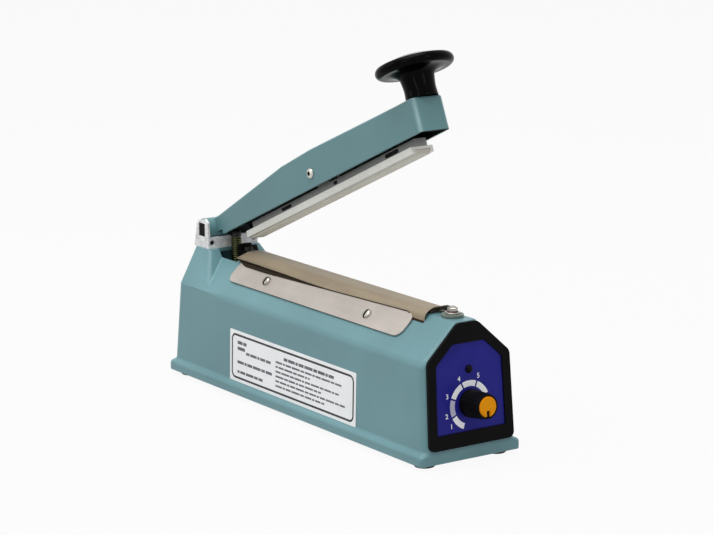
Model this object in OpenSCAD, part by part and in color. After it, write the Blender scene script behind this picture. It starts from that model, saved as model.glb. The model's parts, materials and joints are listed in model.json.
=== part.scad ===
// Hand impulse bag sealer: a cast housing with a heated ridge, a hinged arm that presses a soft bar
// on it, a dwell timer on the front, and the transformer, timer board and switch inside.
// Millimetres, +Z up, +X towards the timer. The origin is the middle of the footprint, on the table.

/* [Base] */
// Length of the base over its rim
base_l = 297; // [280:1:340]
// Width of the base over its rim
base_w = 76.4; // [75:0.2:90]
// Height of the rubber feet
foot_h = 3; // [2.5:0.5:6]
// Diameter of a rubber foot
foot_d = 14; // [12:0.5:16]
// Distance from a foot's centre to the end of the base
foot_end = 11.5; // [11:0.5:16]
// Height of the upright part of the rim
rim_h = 6; // [4:0.5:9]
// How far the rim stands out from the side walls
rim_side = 3.6; // [1:0.1:4.5]
// How far the rim stands out from the front and rear walls
rim_end = 1; // [0.5:0.1:3]
// Height of the slope from the rim up to the walls
rim_rise = 1.8; // [1:0.1:4]
// Radius of the rim's corners
rim_r = 3; // [1:0.5:6]
// Thickness of the housing's walls
wall = 2.5; // [2:0.1:3]
// Radius of the housing's upright corners
corner_r = 5; // [4:0.5:7]
// Thickness of the bottom plate
floor_t = 1.5; // [1:0.1:2.5]

/* [Housing] */
// Height of the crease where the walls turn into the sloping roof
crease_z = 65; // [63:0.5:75]
// How far each side wall leans in up to the crease
crease_in = 1.1; // [0.5:0.1:3]
// Height of the ridge's flat top
ridge_z = 88.3; // [84:0.1:95]
// Width of the ridge's flat top
ridge_w = 16; // [14:0.5:20]
// Lean of the front wall, in degrees
front_tilt = 4.6; // [2:0.1:8]
// Lean of the rear wall, in degrees
rear_tilt = 5.6; // [3:0.1:8]
// Height of the hinge pillar above the ridge's top
pillar_up = 1.2; // [0.5:0.1:4]
// Width of the pillar's top
pillar_w = 42; // [41:0.5:50]
// Length of the pillar's top
pillar_l = 18.7; // [17:0.1:24]
// Length of the pillar at the crease
pillar_foot = 37.3; // [34:0.1:39]
// Width of the slot between the pillar and the ridge
slot_w = 25; // [20:0.5:30]
// Thickness of the deck inside the pillar
deck_t = 2.6; // [2:0.1:4]

/* [Sealing ridge] */
// Length of the heated strip
seal_l = 210; // [190:1:215]
// Distance from the front end of the strip to the front of the base
seal_front = 35.5; // [34:0.5:50]
// Thickness of the insulating strip under the wire
strip_t = 1.9; // [1:0.1:3]
// Width of the flat heating wire
wire_w = 2.5; // [2:0.1:5]
// Thickness of the flat heating wire
wire_t = 0.2; // [0.1:0.05:0.4]
// Thickness of the release cloth over the wire
cloth_t = 0.3; // [0.2:0.05:0.5]
// How far the release cloth reaches down each roof slope
cloth_skirt = 7; // [6:0.5:14]
// How far the release cloth reaches past the front end of the strip
cloth_over = 2.7; // [0:0.1:5]
// Length of a clamp plate
clamp_l = 197.7; // [180:0.1:205]
// Width of a clamp plate
clamp_w = 18.3; // [14:0.1:19]
// Thickness of a clamp plate
clamp_t = 1; // [0.6:0.1:2]
// Corner radius of a clamp plate
clamp_r = 6; // [2:0.5:7]
// Distance from the front of the base to the front of the clamp plates
clamp_front = 43; // [41:0.5:60]
// Distance from the crease to a clamp plate's lower edge, up the slope
clamp_up = 12.7; // [11:0.1:16]
// Distance between the two screws of a clamp plate
clamp_pitch = 116; // [90:1:150]
// Distance from the front terminal to the front of the base
terminal_front = 20.5; // [18:0.5:25]
// Diameter of the front terminal's insulating washer
terminal_d = 14; // [11:0.5:15]

/* [Front panel] */
// How far the bezel stands out from the front wall
bezel_t = 2; // [1.5:0.1:3]
// Width of the bezel's side bands
bezel_band = 6; // [4:0.5:8]
// Height of the bezel's bottom band
bezel_foot = 9; // [6:0.5:12]
// Height of the bezel's top band
bezel_head = 12.5; // [8:0.5:16]
// Thickness of the panel inside the bezel
panel_t = 1; // [0.5:0.1:1.4]
// Height of the dial's centre
dial_z = 37.6; // [36:0.1:42]
// Height of the indicator lamp
lamp_z = 58.7; // [57:0.1:64]
// Diameter of the indicator lamp
lamp_d = 5; // [3:0.5:6]
// Diameter of the timer knob
timer_d = 17.5; // [16:0.1:22]
// How far the timer knob stands out from the front wall
timer_l = 19; // [18:0.1:24]
// Diameter of the timer knob's coloured cap
cap_d = 12.8; // [10:0.1:14]
// Length of the side label
label_l = 148; // [100:1:200]
// Height of the side label
label_h = 35; // [20:0.5:45]

/* [Hinge] */
// Distance from the hinge pin to the rear end of the base
pivot_rear = 16.5; // [16:0.1:17.5]
// Height of the hinge pin above the pillar's top
pivot_up = 12.5; // [12:0.1:14]
// Diameter of the hinge pin
pin_d = 6; // [4:0.1:6.4]
// Diameter of the arm's hub
hub_d = 15; // [13:0.1:15.5]
// Width of the hinge yoke over its cheeks
yoke_w = 40; // [36:0.5:40]
// Thickness of the yoke's sheet
yoke_t = 1.6; // [1.2:0.1:1.8]
// Distance from the hinge pin to the front of the yoke
yoke_reach = 8.4; // [8.3:0.1:9]
// Height of the yoke's front lip
lip_h = 8; // [5:0.1:8.2]

/* [Arm] */
// Angle of the raised arm to the base, in degrees
arm_open = 23.9; // [15:0.1:30]
// Length of the arm from the hinge pin
arm_l = 262; // [255:0.5:280]
// Width of the arm
arm_w = 24; // [22:0.5:28]
// Thickness of the arm's walls
arm_wall = 2; // [1.5:0.1:2.5]
// Depth of the arm's side walls below the pin's centre line
arm_drop = 7.3; // [6:0.1:9]
// Height of the arm above the pin's centre line at the hub
tail_h = 6.2; // [5:0.1:7]
// Height of the arm above the pin's centre line at its middle
arm_h = 16.6; // [14:0.1:20]
// Height of the arm above the pin's centre line at its nose
nose_h = 14.7; // [13:0.1:18]
// Radius of the nose's upright corners
nose_r = 4.5; // [2:0.5:7]
// Distance from the handle knob's axis to the arm's nose
grip_back = 6; // [6:0.5:14]
// Diameter of the handle knob
grip_d = 50; // [40:0.2:60]
// Height of the handle knob
grip_h = 28; // [24:0.5:36]
// Diameter of the handle knob's stem
grip_stem_d = 20.6; // [18:0.2:24]

/* [Pressing bar] */
// Length of the pressing bar
bar_l = 207; // [190:1:210]
// Distance from the hinge pin to the rear end of the bar, along the arm
bar_start = 36.5; // [34:0.5:45]
// Distance from the hinge pin to the bar's rocking screw, along the arm
rock_along = 135.2; // [125:0.1:150]
// Height of the rocking screw above the pin's centre line
rock_up = 1.7; // [0:0.1:3]
// Diameter of the rocking screw
rock_d = 4; // [3:0.1:5]
// Width of the bar's steel holder
holder_w = 9; // [8:0.5:17]
// Distance from the bar's rear end to its holder
holder_in = 4; // [0:0.5:10]
// Thickness of the bar's steel holder
holder_t = 5; // [4:0.1:6]
// Width of the rail under the holder
rail_w = 16.5; // [15:0.5:18]
// Height of the rail
rail_h = 4.4; // [4:0.1:6]
// Width of the silicone strip
silicone_w = 12; // [8:0.5:13]
// How far the silicone strip stands out of the rail
silicone_out = 1.2; // [0.6:0.1:2]

/* [Spring and switch] */
// Outer diameter of the return spring
spring_d = 7.2; // [6.6:0.1:7.4]
// Thickness of the spring wire
spring_wire = 1.2; // [0.9:0.1:1.3]
// Number of curls of the spring
spring_curls = 15; // [10:1:17]
// Diameter of the push rod
rod_d = 4; // [3:0.1:4]
// Length of the switch body
switch_l = 28; // [24:1:32]
// Height of the switch body
switch_h = 16; // [12:0.5:18]
// Thickness of the switch body
switch_t = 10.3; // [8:0.1:12]
// Height of the switch body's top
switch_z = 44; // [40:0.5:46]
// Angle of the switch lever at rest, in degrees
lever_tilt = 13; // [10:0.5:16]

/* [Power parts] */
// Length of the transformer core
core_l = 66; // [54:1:72]
// Height of the transformer core
core_h = 55; // [45:1:56]
// Thickness of the core's stack of sheets
core_stack = 34; // [26:1:36]
// Distance from the transformer's middle to the front of the base
core_front = 103.5; // [100:0.5:130]
// Diameter of the power leads to the heating wire
lead_d = 2.4; // [1.5:0.1:3]
// Height of the cord inlet
inlet_z = 22; // [20:0.5:30]
// Diameter of the cord inlet's bore
inlet_d = 7.2; // [5:0.1:8]

/* [Hidden] */

$fn = 64;
// Facets of a rounded corner that is blended with hull()
hull_fn = 32;
// Thickness of the discs that a blend runs between
sliver = 0.01;
// Extra length of a cutting tool past the face that it cuts
over = 1;
// Radial clearance of a pin, shaft or rod that turns or slides
run_fit = 0.05;
// Radial clearance of a screw or bush in its hole
hole_fit = 0.1;
// Gap between flat pieces that lie on each other
lie_gap = 0.05;
// Gap between moving pieces that nearly touch
touch_gap = 0.25;

// Housing: half sizes, heights and the lean of its walls
half_l = base_l / 2;
half_w = base_w / 2;
rim_z = foot_h + rim_h;
wall_z = rim_z + rim_rise;
crease_y = half_w - rim_side - crease_in;
floor_z = foot_h + floor_t;
pillar_z = ridge_z + pillar_up;
roof_run = (crease_y - ridge_w / 2) / (ridge_z - crease_z);
roof_a = atan(1 / roof_run);
roof_len = (ridge_z - crease_z) / sin(roof_a);
side_tilt = atan(crease_in / (crease_z - wall_z));

function side_y(z) = half_w - rim_side - crease_in * (z - wall_z) / (crease_z - wall_z);
function front_x(z) = half_l - rim_end - tan(front_tilt) * (z - wall_z);
function rear_x(z) = -half_l + rim_end + tan(rear_tilt) * (z - wall_z);
function roof_y(z) = crease_y - roof_run * (z - crease_z);
function pillar_rise(z) = (z - crease_z) / (pillar_z - crease_z);
function pillar_y(z) = crease_y + (pillar_w / 2 - crease_y) * pillar_rise(z);
function pillar_x(z) = rear_x(z) + pillar_foot + (pillar_l - pillar_foot) * pillar_rise(z);

// Inside of the housing: where the inner wall meets the inner roof
in_crease_y = crease_y - wall;
in_crease_z = crease_z - (wall / sin(roof_a) - wall) / roof_run;
in_ridge_z = ridge_z - wall;
in_ridge_y = roof_y(in_ridge_z) - wall / sin(roof_a);
deck_z = in_crease_z + deck_t;
ridge_r = 2;
pillar_r = 3;
in_corner_r = corner_r - wall / 2;

// Feet, their screws and the posts that the screws go into
foot_x = half_l - foot_end;
post_d = 9.6;
post_top = 34;
post_sunk = 0.6;
foot_y = side_y(post_top) - wall - post_d / 2 + post_sunk;
foot_web = 1.2;
foot_screw_d = 4;
foot_head_d = 7;
foot_head_h = 1.5;
foot_screw_l = 14;
foot_recess_d = foot_head_d + 1;
foot_taper = 1.5;
floor_gap = 0.3;
floor_corner = 3;

// Front panel: the front wall's plane, seen square on
wall_n = wall * cos(front_tilt);
function up(z) = (z - wall_z) / cos(front_tilt);
bezel_side = 2.3;
bezel_roof = 0.7;
bezel_up = 0.8;
bezel_down = 0.5;
bezel_low = wall_z + bezel_up;
bezel_high = ridge_z - bezel_down;
open_low = bezel_low + bezel_foot;
open_high = bezel_high - bezel_head;
panel_gap = 0.1;

// Timer: potentiometer, board behind it and the knob in front
pot_d = 17;
pot_l = 9;
bush_d = 7;
bush_l = 5;
nut_t = 2;
nut_af = 10;
shaft_d = 6;
shaft_back = 5;
shaft_l = 15.5;
knob_gap = 0.5;
knob_back = panel_t + knob_gap;
knob_recess_d = 13;
knob_recess = max(panel_t + nut_t, bush_l) + knob_gap;
knob_taper = 1.1;
cap_t = 1.6;
cap_crown = 0.5;
pointer_w = 2.6;
pointer_l = 4;
board_t = 1.6;
board_gap = 0.3;
board_w = 2 * (foot_y - post_d / 2 - board_gap);
board_low = 17;
board_high = 62;
board_edge = 1;
standoff_d = 5;
standoff_in = 5;
standoff_y = board_w / 2 - standoff_in;
standoff_z = board_low + standoff_in;
relay_l = 19;
relay_w = 15;
relay_h = 15.5;
relay_y = -board_w / 2 + board_edge + relay_l / 2;
relay_z = 38;
smooth_cap_d = 10;
smooth_cap_l = 13;
smooth_cap_y = board_w / 2 - 3 * board_edge - smooth_cap_d / 2;
smooth_cap_z = 36;
lamp_flange = 0.8;
lamp_flange_t = 1;
lamp_back = 8;

// The whole object reaches from the rear of the base to the timer knob's cap
knob_tip_x = front_x(dial_z) + (timer_l + cap_crown) * cos(front_tilt)
  + cap_d / 2 * sin(front_tilt);
base_x = -(knob_tip_x - half_l) / 2;

// Sealing ridge
seal_x1 = half_l - seal_front;
seal_x0 = seal_x1 - seal_l;
strip_z = ridge_z + strip_t;
strip_y = roof_y(strip_z);
wire_z = strip_z + wire_t;
cloth_under = wire_z + lie_gap;
clamp_lift = lie_gap + cloth_t + lie_gap;
clamp_x1 = half_l - clamp_front;
clamp_x0 = clamp_x1 - clamp_l;
clamp_shift = 0.5;
clamp_screw_up = 8.2;
clamp_mid = (clamp_x0 + clamp_x1) / 2 - clamp_shift;
clamp_screw_d = 3;
clamp_head_d = 6.6;
clamp_head_h = 1.9;
clamp_screw_l = 7;
terminal_x = half_l - terminal_front;
stud_d = 4;
spigot_d = 6.4;
terminal_washer_d = 9;
terminal_washer_t = 0.8;
terminal_nut_af = 7;
terminal_nut_t = 3;
stud_tip = 0.6;
stud_head_af = 7;
stud_head_t = 2.6;
low_washer_t = 1.2;
eyelet_d = 8;

// Hinge: pin, yoke, bushes
pivot_x = -half_l + pivot_rear;
pivot_z = pillar_z + pivot_up;
yoke_x1 = pivot_x + yoke_reach;
yoke_back = 10;
yoke_x0 = pivot_x - yoke_back;
yoke_rear_in = 6.2;
yoke_rear_up = 5.6;
yoke_front_in = 6.6;
yoke_front_up = 8;
yoke_top_rear = [pivot_x - yoke_rear_in, pivot_z + yoke_rear_up];
yoke_top_front = [pivot_x + yoke_front_in, pivot_z + yoke_front_up];
yoke_top_r = 2.5;
yoke_corner = 0.6;
lip_hole_d = 4;
lip_hole_in = 3.2;
lip_hole_z = 4.2;
bush_w = 7.6;
bush_h = 9;
bush_skin = 0.4;
bush_sunk = 0.3;
cheek_y = yoke_w / 2;
cheek_in = cheek_y - yoke_t;
hub_gap = 0.3;
yoke_screw_d = 4;
yoke_head_d = 7;
yoke_head_h = 1.8;
yoke_screw_y = 9;
yoke_screw_back = 1;
yoke_screw_l = 8;

// Slot, spring, push rod and the terminal block in the slot
slot_x0 = yoke_x1 + 2 * lie_gap;
slot_x1 = seal_x0 - wall;
spring_gap = 0.5;
spring_x = yoke_x1 + spring_gap + spring_d / 2;
guide_flange_d = spring_d + 1.6;
guide_flange_t = 1.5;
guide_d = 7;
guide_l = 6;
spring_z0 = deck_z + guide_flange_t;
seat_v = -4;
seat_t = 2;
rod_cap_r = spring_d / 2;
rod_collar = 1.5;
rod_cap_z = pivot_z
  + (seat_v - touch_gap - rod_cap_r + (spring_x - pivot_x) * sin(arm_open)) / cos(arm_open);
spring_z1 = rod_cap_z - rod_collar;
block_l = 8.4;
block_w = 9;
block_gap = 6.2;
block_x0 = spring_x + spring_d / 2 + block_gap;
block_x1 = block_x0 + block_l;
block_up = 3.8;
rear_stud_d = 3;
rear_head_d = 5.4;
rear_head_h = 1.8;
rear_stud_in = 2.9;
rear_stud_x = block_x1 - rear_stud_in;
rear_stud_low = 8;
rear_nut_af = 5.5;
rear_nut_t = 2.4;
rear_eyelet_d = 5.6;
// The fence of the rear block ends short of the stud's head and the wire's eyelet
block_fence = block_l - rear_stud_in - max(rear_head_d, rear_eyelet_d) / 2 - hole_fit;

// Switch under the push rod
lever_t = 0.8;
lever_w = 5;
lever_reach = 20;
lever_pin_d = 1.6;
lever_x = spring_x + lever_reach;
lever_up = 1.5;
lever_z = switch_z + lever_up;
lever_tip = 3.5;
lever_l = lever_reach + lever_tip;
ear_t = 1;
ear_gap = 0.2;
ear_run = 4;
ear_up = 2;
ear_w = lever_w + 2 * (ear_t + ear_gap);
rod_gap = 0.5;
rod_low = lever_z + lever_reach * tan(lever_tilt)
  + (lever_t / 2 + touch_gap + rod_gap) / cos(lever_tilt);
lever_end = 3;
switch_x1 = lever_x + lever_end;
switch_x0 = switch_x1 - switch_l;
switch_screw_d = 3;
switch_screw_in = 3.2;
switch_head_d = 5.5;
switch_head_h = 1.8;
bracket_t = 1.5;
bracket_foot = 12;
bracket_low = 4;
bracket_screw_in = 5;
screw_tip = 1;

// Transformer, its strap and the terminal strip on the bottom plate
core_x = half_l - core_front;
core_leg = core_l / 6;
coil_gap = 0.4;
coil_wrap = core_leg - 1;
strap_w = 20;
strap_t = 1.2;
strap_foot = 11;
strap_screw_d = 4;
strap_head_d = 7;
strap_head_h = 2;
strip_back = 70;
strip_l = 24;
strip_w = 14;
strip_h = 15;
strip_foot_t = 3;
strip_screw_d = 3;
strip_head_d = 5.5;
strip_head_h = 1.6;
strip_foot = strip_head_d + 1;
strip_hole_d = 3;
strip_x = pivot_x + strip_back;

// Arm
arm_in = arm_w / 2 - arm_wall;
notch_u = 13;
notch_v = seat_v;
tail_u = 12;
rise_u = 102;
crest_u = 140;
crest_drop = 1;
flat_edge = 2;
flat_u = grip_stem_d / 2 + flat_edge;
grip_u = arm_l - grip_back;
cavity_u = 20;
seat_u0 = 5;
seat_u1 = 17;
rock_head_d = 6.8;
rock_head_h = 1.8;
rock_nut_af = 7;
rock_nut_t = 3;
bolt_d = 4;
bolt_head_d = 7;
bolt_head_t = 3;
bolt_in = 13;

// Pressing bar, below the arm's edges
holder_sunk = 0.3;
holder_top = -arm_drop + holder_sunk;
holder_low = holder_top - holder_t;
rail_low = holder_low - rail_h;
bar_low = rail_low - silicone_out;
ear_l = 14;
holder_ear_t = 1.8;
ear_rise = 4.5;
ear_top = rock_up + ear_rise;
silicone_in = 1.4;
rail_lip = 1;
rail_screw_d = 3;
rail_screw_head_d = 5.5;
rail_screw_head_h = 1.6;
rail_screw_bite = 1.6;
rail_screw_l = holder_t + rail_screw_bite;
rail_screw_in = 20;

// Inlet in the rear wall
inlet_flange_d = inlet_d + 8;
inlet_flange_t = 2;
inlet_neck_d = inlet_d + 4;

label_t = 0.3;
label_r = 1;
label_up = 0.2;
label_z = wall_z + label_up + label_h / 2;

/* Shared shapes */

// Moves the base's middle back by half of the knob's overhang
module placed() {
  translate([base_x, 0, 0]) children();
}

// The front wall's plane: X out of the wall, Z up it
module on_panel(z = 0) {
  placed() translate([front_x(wall_z), 0, wall_z]) rotate([0, -front_tilt, 0])
    translate([0, 0, z]) children();
}

// The near roof slope, or the far one: Y up the slope from the crease, Z out of it
module on_roof(far = false) {
  mirror([0, far ? 1 : 0, 0]) translate([0, -crease_y, crease_z]) rotate([roof_a, 0, 0]) children();
}

// The rear wall at the inlet: X out of the wall
module on_inlet() {
  placed() translate([rear_x(inlet_z), 0, inlet_z]) rotate([0, 180 + rear_tilt, 0]) children();
}

// The raised arm: X along it, Z up from it
module on_arm() {
  placed() translate([pivot_x, 0, pivot_z]) rotate([0, -arm_open, 0]) children();
}

// A round bar along X
module x_bar(d, x0, x1, fn = $fn) {
  translate([x0, 0, 0]) rotate([0, 90, 0]) cylinder(d = d, h = x1 - x0, $fn = fn);
}

// A round bar along Y
module y_bar(d, y0, y1, fn = $fn) {
  translate([0, y0, 0]) rotate([-90, 0, 0]) cylinder(d = d, h = y1 - y0, $fn = fn);
}

// A hexagonal prism of a width over its flats
module hex(af, h) {
  cylinder(d = af / cos(30), h = h, $fn = 6);
}

// A flat disc-cornered layer, for blending
module layer(x0, x1, y, z, r, h = sliver) {
  for (x = [x0 + r, x1 - r], s = [-1, 1])
    translate([x, s * (y - r), z]) cylinder(r = r, h = h, $fn = hull_fn);
}

// A rectangle with round corners
module rounded(l, w, r) {
  square([l - 2 * r, w], center = true);
  square([l, w - 2 * r], center = true);
  for (x = [-1, 1], y = [-1, 1])
    translate([x * (l / 2 - r), y * (w / 2 - r)]) circle(r = r);
}

// A screw with a round slotted head on Z = 0 and its shank below
module screw(d, l, head_d, head_h) {
  slot = head_d / 6;
  translate([0, 0, -l]) cylinder(d = d, h = l + sliver);
  difference() {
    cylinder(d = head_d, h = head_h);
    translate([-head_d / 2, -slot / 2, head_h - slot]) cube([head_d, slot, slot + over]);
  }
}

// Places children at each screw of a clamp plate
module at_clamp_screws() {
  for (x = [-1, 1])
    translate([clamp_mid + x * clamp_pitch / 2, clamp_up + clamp_screw_up, 0]) children();
}

// Places children at each foot
module at_feet() {
  for (x = [-1, 1], y = [-1, 1])
    translate([x * foot_x, y * foot_y, 0]) children();
}

// Places children at each screw of the yoke
module at_yoke_screws() {
  for (y = [-1, 1])
    translate([pivot_x - yoke_screw_back, y * yoke_screw_y, 0]) children();
}

/* Base */

module housing_outside() {
  hull() {
    layer(-half_l, half_l, half_w, foot_h, rim_r, rim_h);
    layer(rear_x(wall_z), front_x(wall_z), side_y(wall_z), wall_z, corner_r);
  }
  hull() {
    layer(rear_x(wall_z), front_x(wall_z), side_y(wall_z), wall_z, corner_r);
    layer(rear_x(crease_z), front_x(crease_z), crease_y, crease_z - sliver, corner_r);
  }
  hull() {
    layer(rear_x(crease_z), front_x(crease_z), crease_y, crease_z - sliver, corner_r);
    layer(pillar_x(pillar_z), front_x(ridge_z), ridge_w / 2, ridge_z - sliver, ridge_r);
  }
  hull() {
    layer(rear_x(crease_z), pillar_x(crease_z), crease_y, crease_z - sliver, corner_r);
    layer(rear_x(pillar_z), pillar_x(pillar_z), pillar_w / 2, pillar_z - sliver, pillar_r);
  }
}

module housing_inside() {
  low = foot_h - over;
  hull() {
    layer(rear_x(low) + wall, front_x(low) - wall, side_y(low) - wall, low, in_corner_r);
    layer(rear_x(in_crease_z) + wall, front_x(in_crease_z) - wall, in_crease_y, in_crease_z, in_corner_r);
  }
  hull() {
    layer(slot_x1 + wall, front_x(in_crease_z) - wall, in_crease_y, in_crease_z, ridge_r);
    layer(slot_x1 + wall, front_x(in_ridge_z) - wall, in_ridge_y, in_ridge_z - sliver, ridge_r);
  }
  hull() {
    layer(rear_x(deck_z) + wall, pillar_x(deck_z) - wall, pillar_y(deck_z) - wall, deck_z, pillar_r);
    layer(rear_x(pillar_z - wall) + wall, pillar_x(pillar_z - wall) - wall, pillar_w / 2 - wall,
      pillar_z - wall, pillar_r - 1);
  }
}

module housing_posts() {
  at_feet() translate([0, 0, floor_z + lie_gap]) cylinder(d = post_d, h = post_top - floor_z);
}

module housing_holes() {
  at_feet() cylinder(d = foot_screw_d + 2 * hole_fit, h = floor_z + foot_screw_l + over);
  translate([slot_x0, -slot_w / 2, deck_z]) cube([slot_x1 - slot_x0, slot_w, pillar_z]);
  translate([spring_x, 0, 0]) cylinder(d = guide_d + 2 * hole_fit, h = deck_z + over);
  translate([rear_stud_x, 0, 0]) cylinder(d = rear_stud_d + 2 * hole_fit, h = deck_z + over);
  translate([terminal_x, 0, in_ridge_z - over])
    cylinder(d = spigot_d + 2 * hole_fit, h = wall + 2 * over);
  for (far = [false, true])
    on_roof(far) at_clamp_screws()
      translate([0, 0, -clamp_screw_l])
        cylinder(d = clamp_screw_d + 2 * hole_fit, h = clamp_screw_l + over);
  at_yoke_screws()
    translate([0, 0, pillar_z - wall - over])
      cylinder(d = yoke_screw_d + 2 * hole_fit, h = wall + 2 * over);
}

module housing() {
  color("cadetblue") difference() {
    placed() difference() {
      union() {
        difference() {
          housing_outside();
          housing_inside();
        }
        housing_posts();
      }
      housing_holes();
    }
    on_panel(up(lamp_z)) x_bar(lamp_d + 2 * hole_fit, -wall_n - over, over);
    on_panel(up(dial_z)) x_bar(bush_d + 2 * hole_fit, -wall_n - over, over);
    on_inlet() x_bar(inlet_neck_d + 2 * hole_fit, -wall - over, over);
  }
}

module bottom_plate() {
  l = front_x(foot_h) - wall - floor_gap;
  r = rear_x(foot_h) + wall + floor_gap;
  w = side_y(foot_h) - wall - floor_gap;
  c = floor_corner;
  color("darkgray") placed() difference() {
    translate([0, 0, foot_h]) linear_extrude(floor_t)
      polygon([
        [r + c, -w], [l - c, -w], [l, -w + c], [l, w - c],
        [l - c, w], [r + c, w], [r, w - c], [r, -w + c]
      ]);
    at_feet() cylinder(d = foot_screw_d + 2 * hole_fit, h = floor_z + over);
    at_strap_screws() cylinder(d = strap_screw_d + 2 * hole_fit, h = floor_z + over);
    at_bracket_screws() cylinder(d = switch_screw_d + 2 * hole_fit, h = floor_z + over);
    at_strip_screws() cylinder(d = strip_screw_d + 2 * hole_fit, h = floor_z + over);
  }
}

module rubber_feet() {
  color("black") placed() at_feet() difference() {
    union() {
      cylinder(d1 = foot_d - foot_taper, d2 = foot_d, h = foot_h / 2);
      translate([0, 0, foot_h / 2]) cylinder(d = foot_d, h = foot_h / 2);
    }
    translate([0, 0, -over]) cylinder(d = foot_recess_d, h = foot_h - foot_web + over);
    cylinder(d = foot_screw_d + 2 * hole_fit, h = foot_h + over);
  }
}

module foot_screws() {
  color("silver") placed() at_feet() translate([0, 0, foot_h - foot_web])
    mirror([0, 0, 1]) screw(foot_screw_d, foot_screw_l, foot_head_d, foot_head_h);
}

module side_label() {
  color("white") placed() translate([0, -side_y(label_z) - lie_gap, label_z])
    rotate([90 - side_tilt, 0, 0]) linear_extrude(label_t) rounded(label_l, label_h, label_r);
}

/* Front panel */

// The front wall's outline, drawn in from its sides and from its roof edges
function panel_outline(side, roof, low, high) =
  let (
    eave_y = crease_y - side,
    eave_z = crease_z + (side - roof / sin(roof_a)) / roof_run,
    low_y = side_y(low) - side,
    high_y = roof_y(high) - roof / sin(roof_a)
  ) [
    [-low_y, up(low)], [low_y, up(low)], [eave_y, up(eave_z)],
    [high_y, up(high)], [-high_y, up(high)], [-eave_y, up(eave_z)]
  ];

// A flat plate on the front wall, from its outline
module panel_plate(points, t) {
  rotate([90, 0, 90]) linear_extrude(t) polygon(points);
}

module panel_bezel() {
  color("black") on_panel() translate([lie_gap, 0, 0]) difference() {
    panel_plate(panel_outline(bezel_side, bezel_roof, bezel_low, bezel_high), bezel_t);
    translate([-over, 0, 0]) panel_plate(
      panel_outline(bezel_side + bezel_band, bezel_roof + bezel_band, open_low, open_high),
      bezel_t + 2 * over);
  }
}

module panel_face() {
  g = bezel_band + panel_gap;
  color("mediumblue") difference() {
    on_panel() translate([lie_gap, 0, 0]) panel_plate(
      panel_outline(bezel_side + g, bezel_roof + g, open_low + panel_gap, open_high - panel_gap), panel_t);
    on_panel(up(lamp_z)) x_bar(lamp_d + 2 * hole_fit, -over, panel_t + over);
    on_panel(up(dial_z)) x_bar(bush_d + 2 * hole_fit, -over, panel_t + over);
  }
}

module indicator_lamp() {
  color("dimgray") on_panel(up(lamp_z)) {
    x_bar(lamp_d, -lamp_back, panel_t);
    translate([panel_t, 0, 0]) intersection() {
      sphere(d = lamp_d);
      x_bar(lamp_d, -sliver, lamp_d);
    }
    x_bar(lamp_d + 2 * lamp_flange, -wall_n - lamp_flange_t - lie_gap, -wall_n - lie_gap);
  }
}

module timer_pot() {
  color("silver") on_panel(up(dial_z)) difference() {
    union() {
      x_bar(pot_d, -wall_n - pot_l, -wall_n - lie_gap);
      x_bar(bush_d, -wall_n - 1, bush_l);
    }
    x_bar(shaft_d + 2 * run_fit, -shaft_back - run_fit, bush_l + over);
  }
}

module pot_nut() {
  color("silver") on_panel(up(dial_z)) difference() {
    translate([panel_t + 2 * lie_gap, 0, 0]) rotate([0, 90, 0]) hex(nut_af, nut_t);
    x_bar(bush_d + 2 * hole_fit, 0, panel_t + nut_t + over);
  }
}

module timer_board() {
  back = -wall_n - pot_l - lie_gap;
  color("darkgreen") on_panel() translate([back - board_t, -board_w / 2, up(board_low)])
    cube([board_t, board_w, up(board_high) - up(board_low)]);
}

module board_standoffs() {
  color("gold") on_panel(up(standoff_z)) for (y = [-1, 1])
    translate([0, y * standoff_y, 0]) x_bar(standoff_d, -wall_n - pot_l, -wall_n - lie_gap);
}

// Where parts stand on the back of the timer board
board_back = -wall_n - pot_l - board_t - 2 * lie_gap;

module timer_relay() {
  color("royalblue") on_panel(up(relay_z))
    translate([board_back - relay_h, relay_y - relay_l / 2, -relay_w / 2])
      cube([relay_h, relay_l, relay_w]);
}

module timer_capacitor() {
  color("midnightblue") on_panel(up(smooth_cap_z)) translate([0, smooth_cap_y, 0])
    x_bar(smooth_cap_d, board_back - smooth_cap_l, board_back);
}

/* Timer knob, which turns */

module timer_knob() {
  color("black") on_panel(up(dial_z)) difference() {
    translate([knob_back, 0, 0]) rotate([0, 90, 0])
      cylinder(d1 = timer_d, d2 = timer_d - 2 * knob_taper, h = timer_l - knob_back);
    x_bar(knob_recess_d, 0, knob_recess);
    x_bar(shaft_d + 2 * hole_fit, 0, shaft_l + hole_fit);
    x_bar(cap_d + 2 * hole_fit, timer_l - cap_t, timer_l + over);
    translate([timer_l - cap_t, -pointer_w / 2, -timer_d / 2 - over])
      cube([cap_t + over, pointer_w, timer_d / 2 + over]);
  }
}

module knob_cap() {
  color("orange") on_panel(up(dial_z)) difference() {
    union() {
      x_bar(cap_d, timer_l - cap_t + lie_gap, timer_l);
      x_bar(cap_d - 2 * cap_crown, timer_l, timer_l + cap_crown);
    }
    translate([timer_l - cap_t / 2, -pointer_w / 2, -cap_d / 2 - over])
      cube([cap_t + over, pointer_w, pointer_l + over]);
  }
}

module pot_shaft() {
  color("silver") on_panel(up(dial_z)) x_bar(shaft_d, -shaft_back, shaft_l);
}

/* Sealing ridge */

module insulating_strip() {
  color("dimgray") placed() translate([seal_x0, -strip_y, ridge_z])
    cube([seal_l, 2 * strip_y, strip_t]);
}

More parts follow.
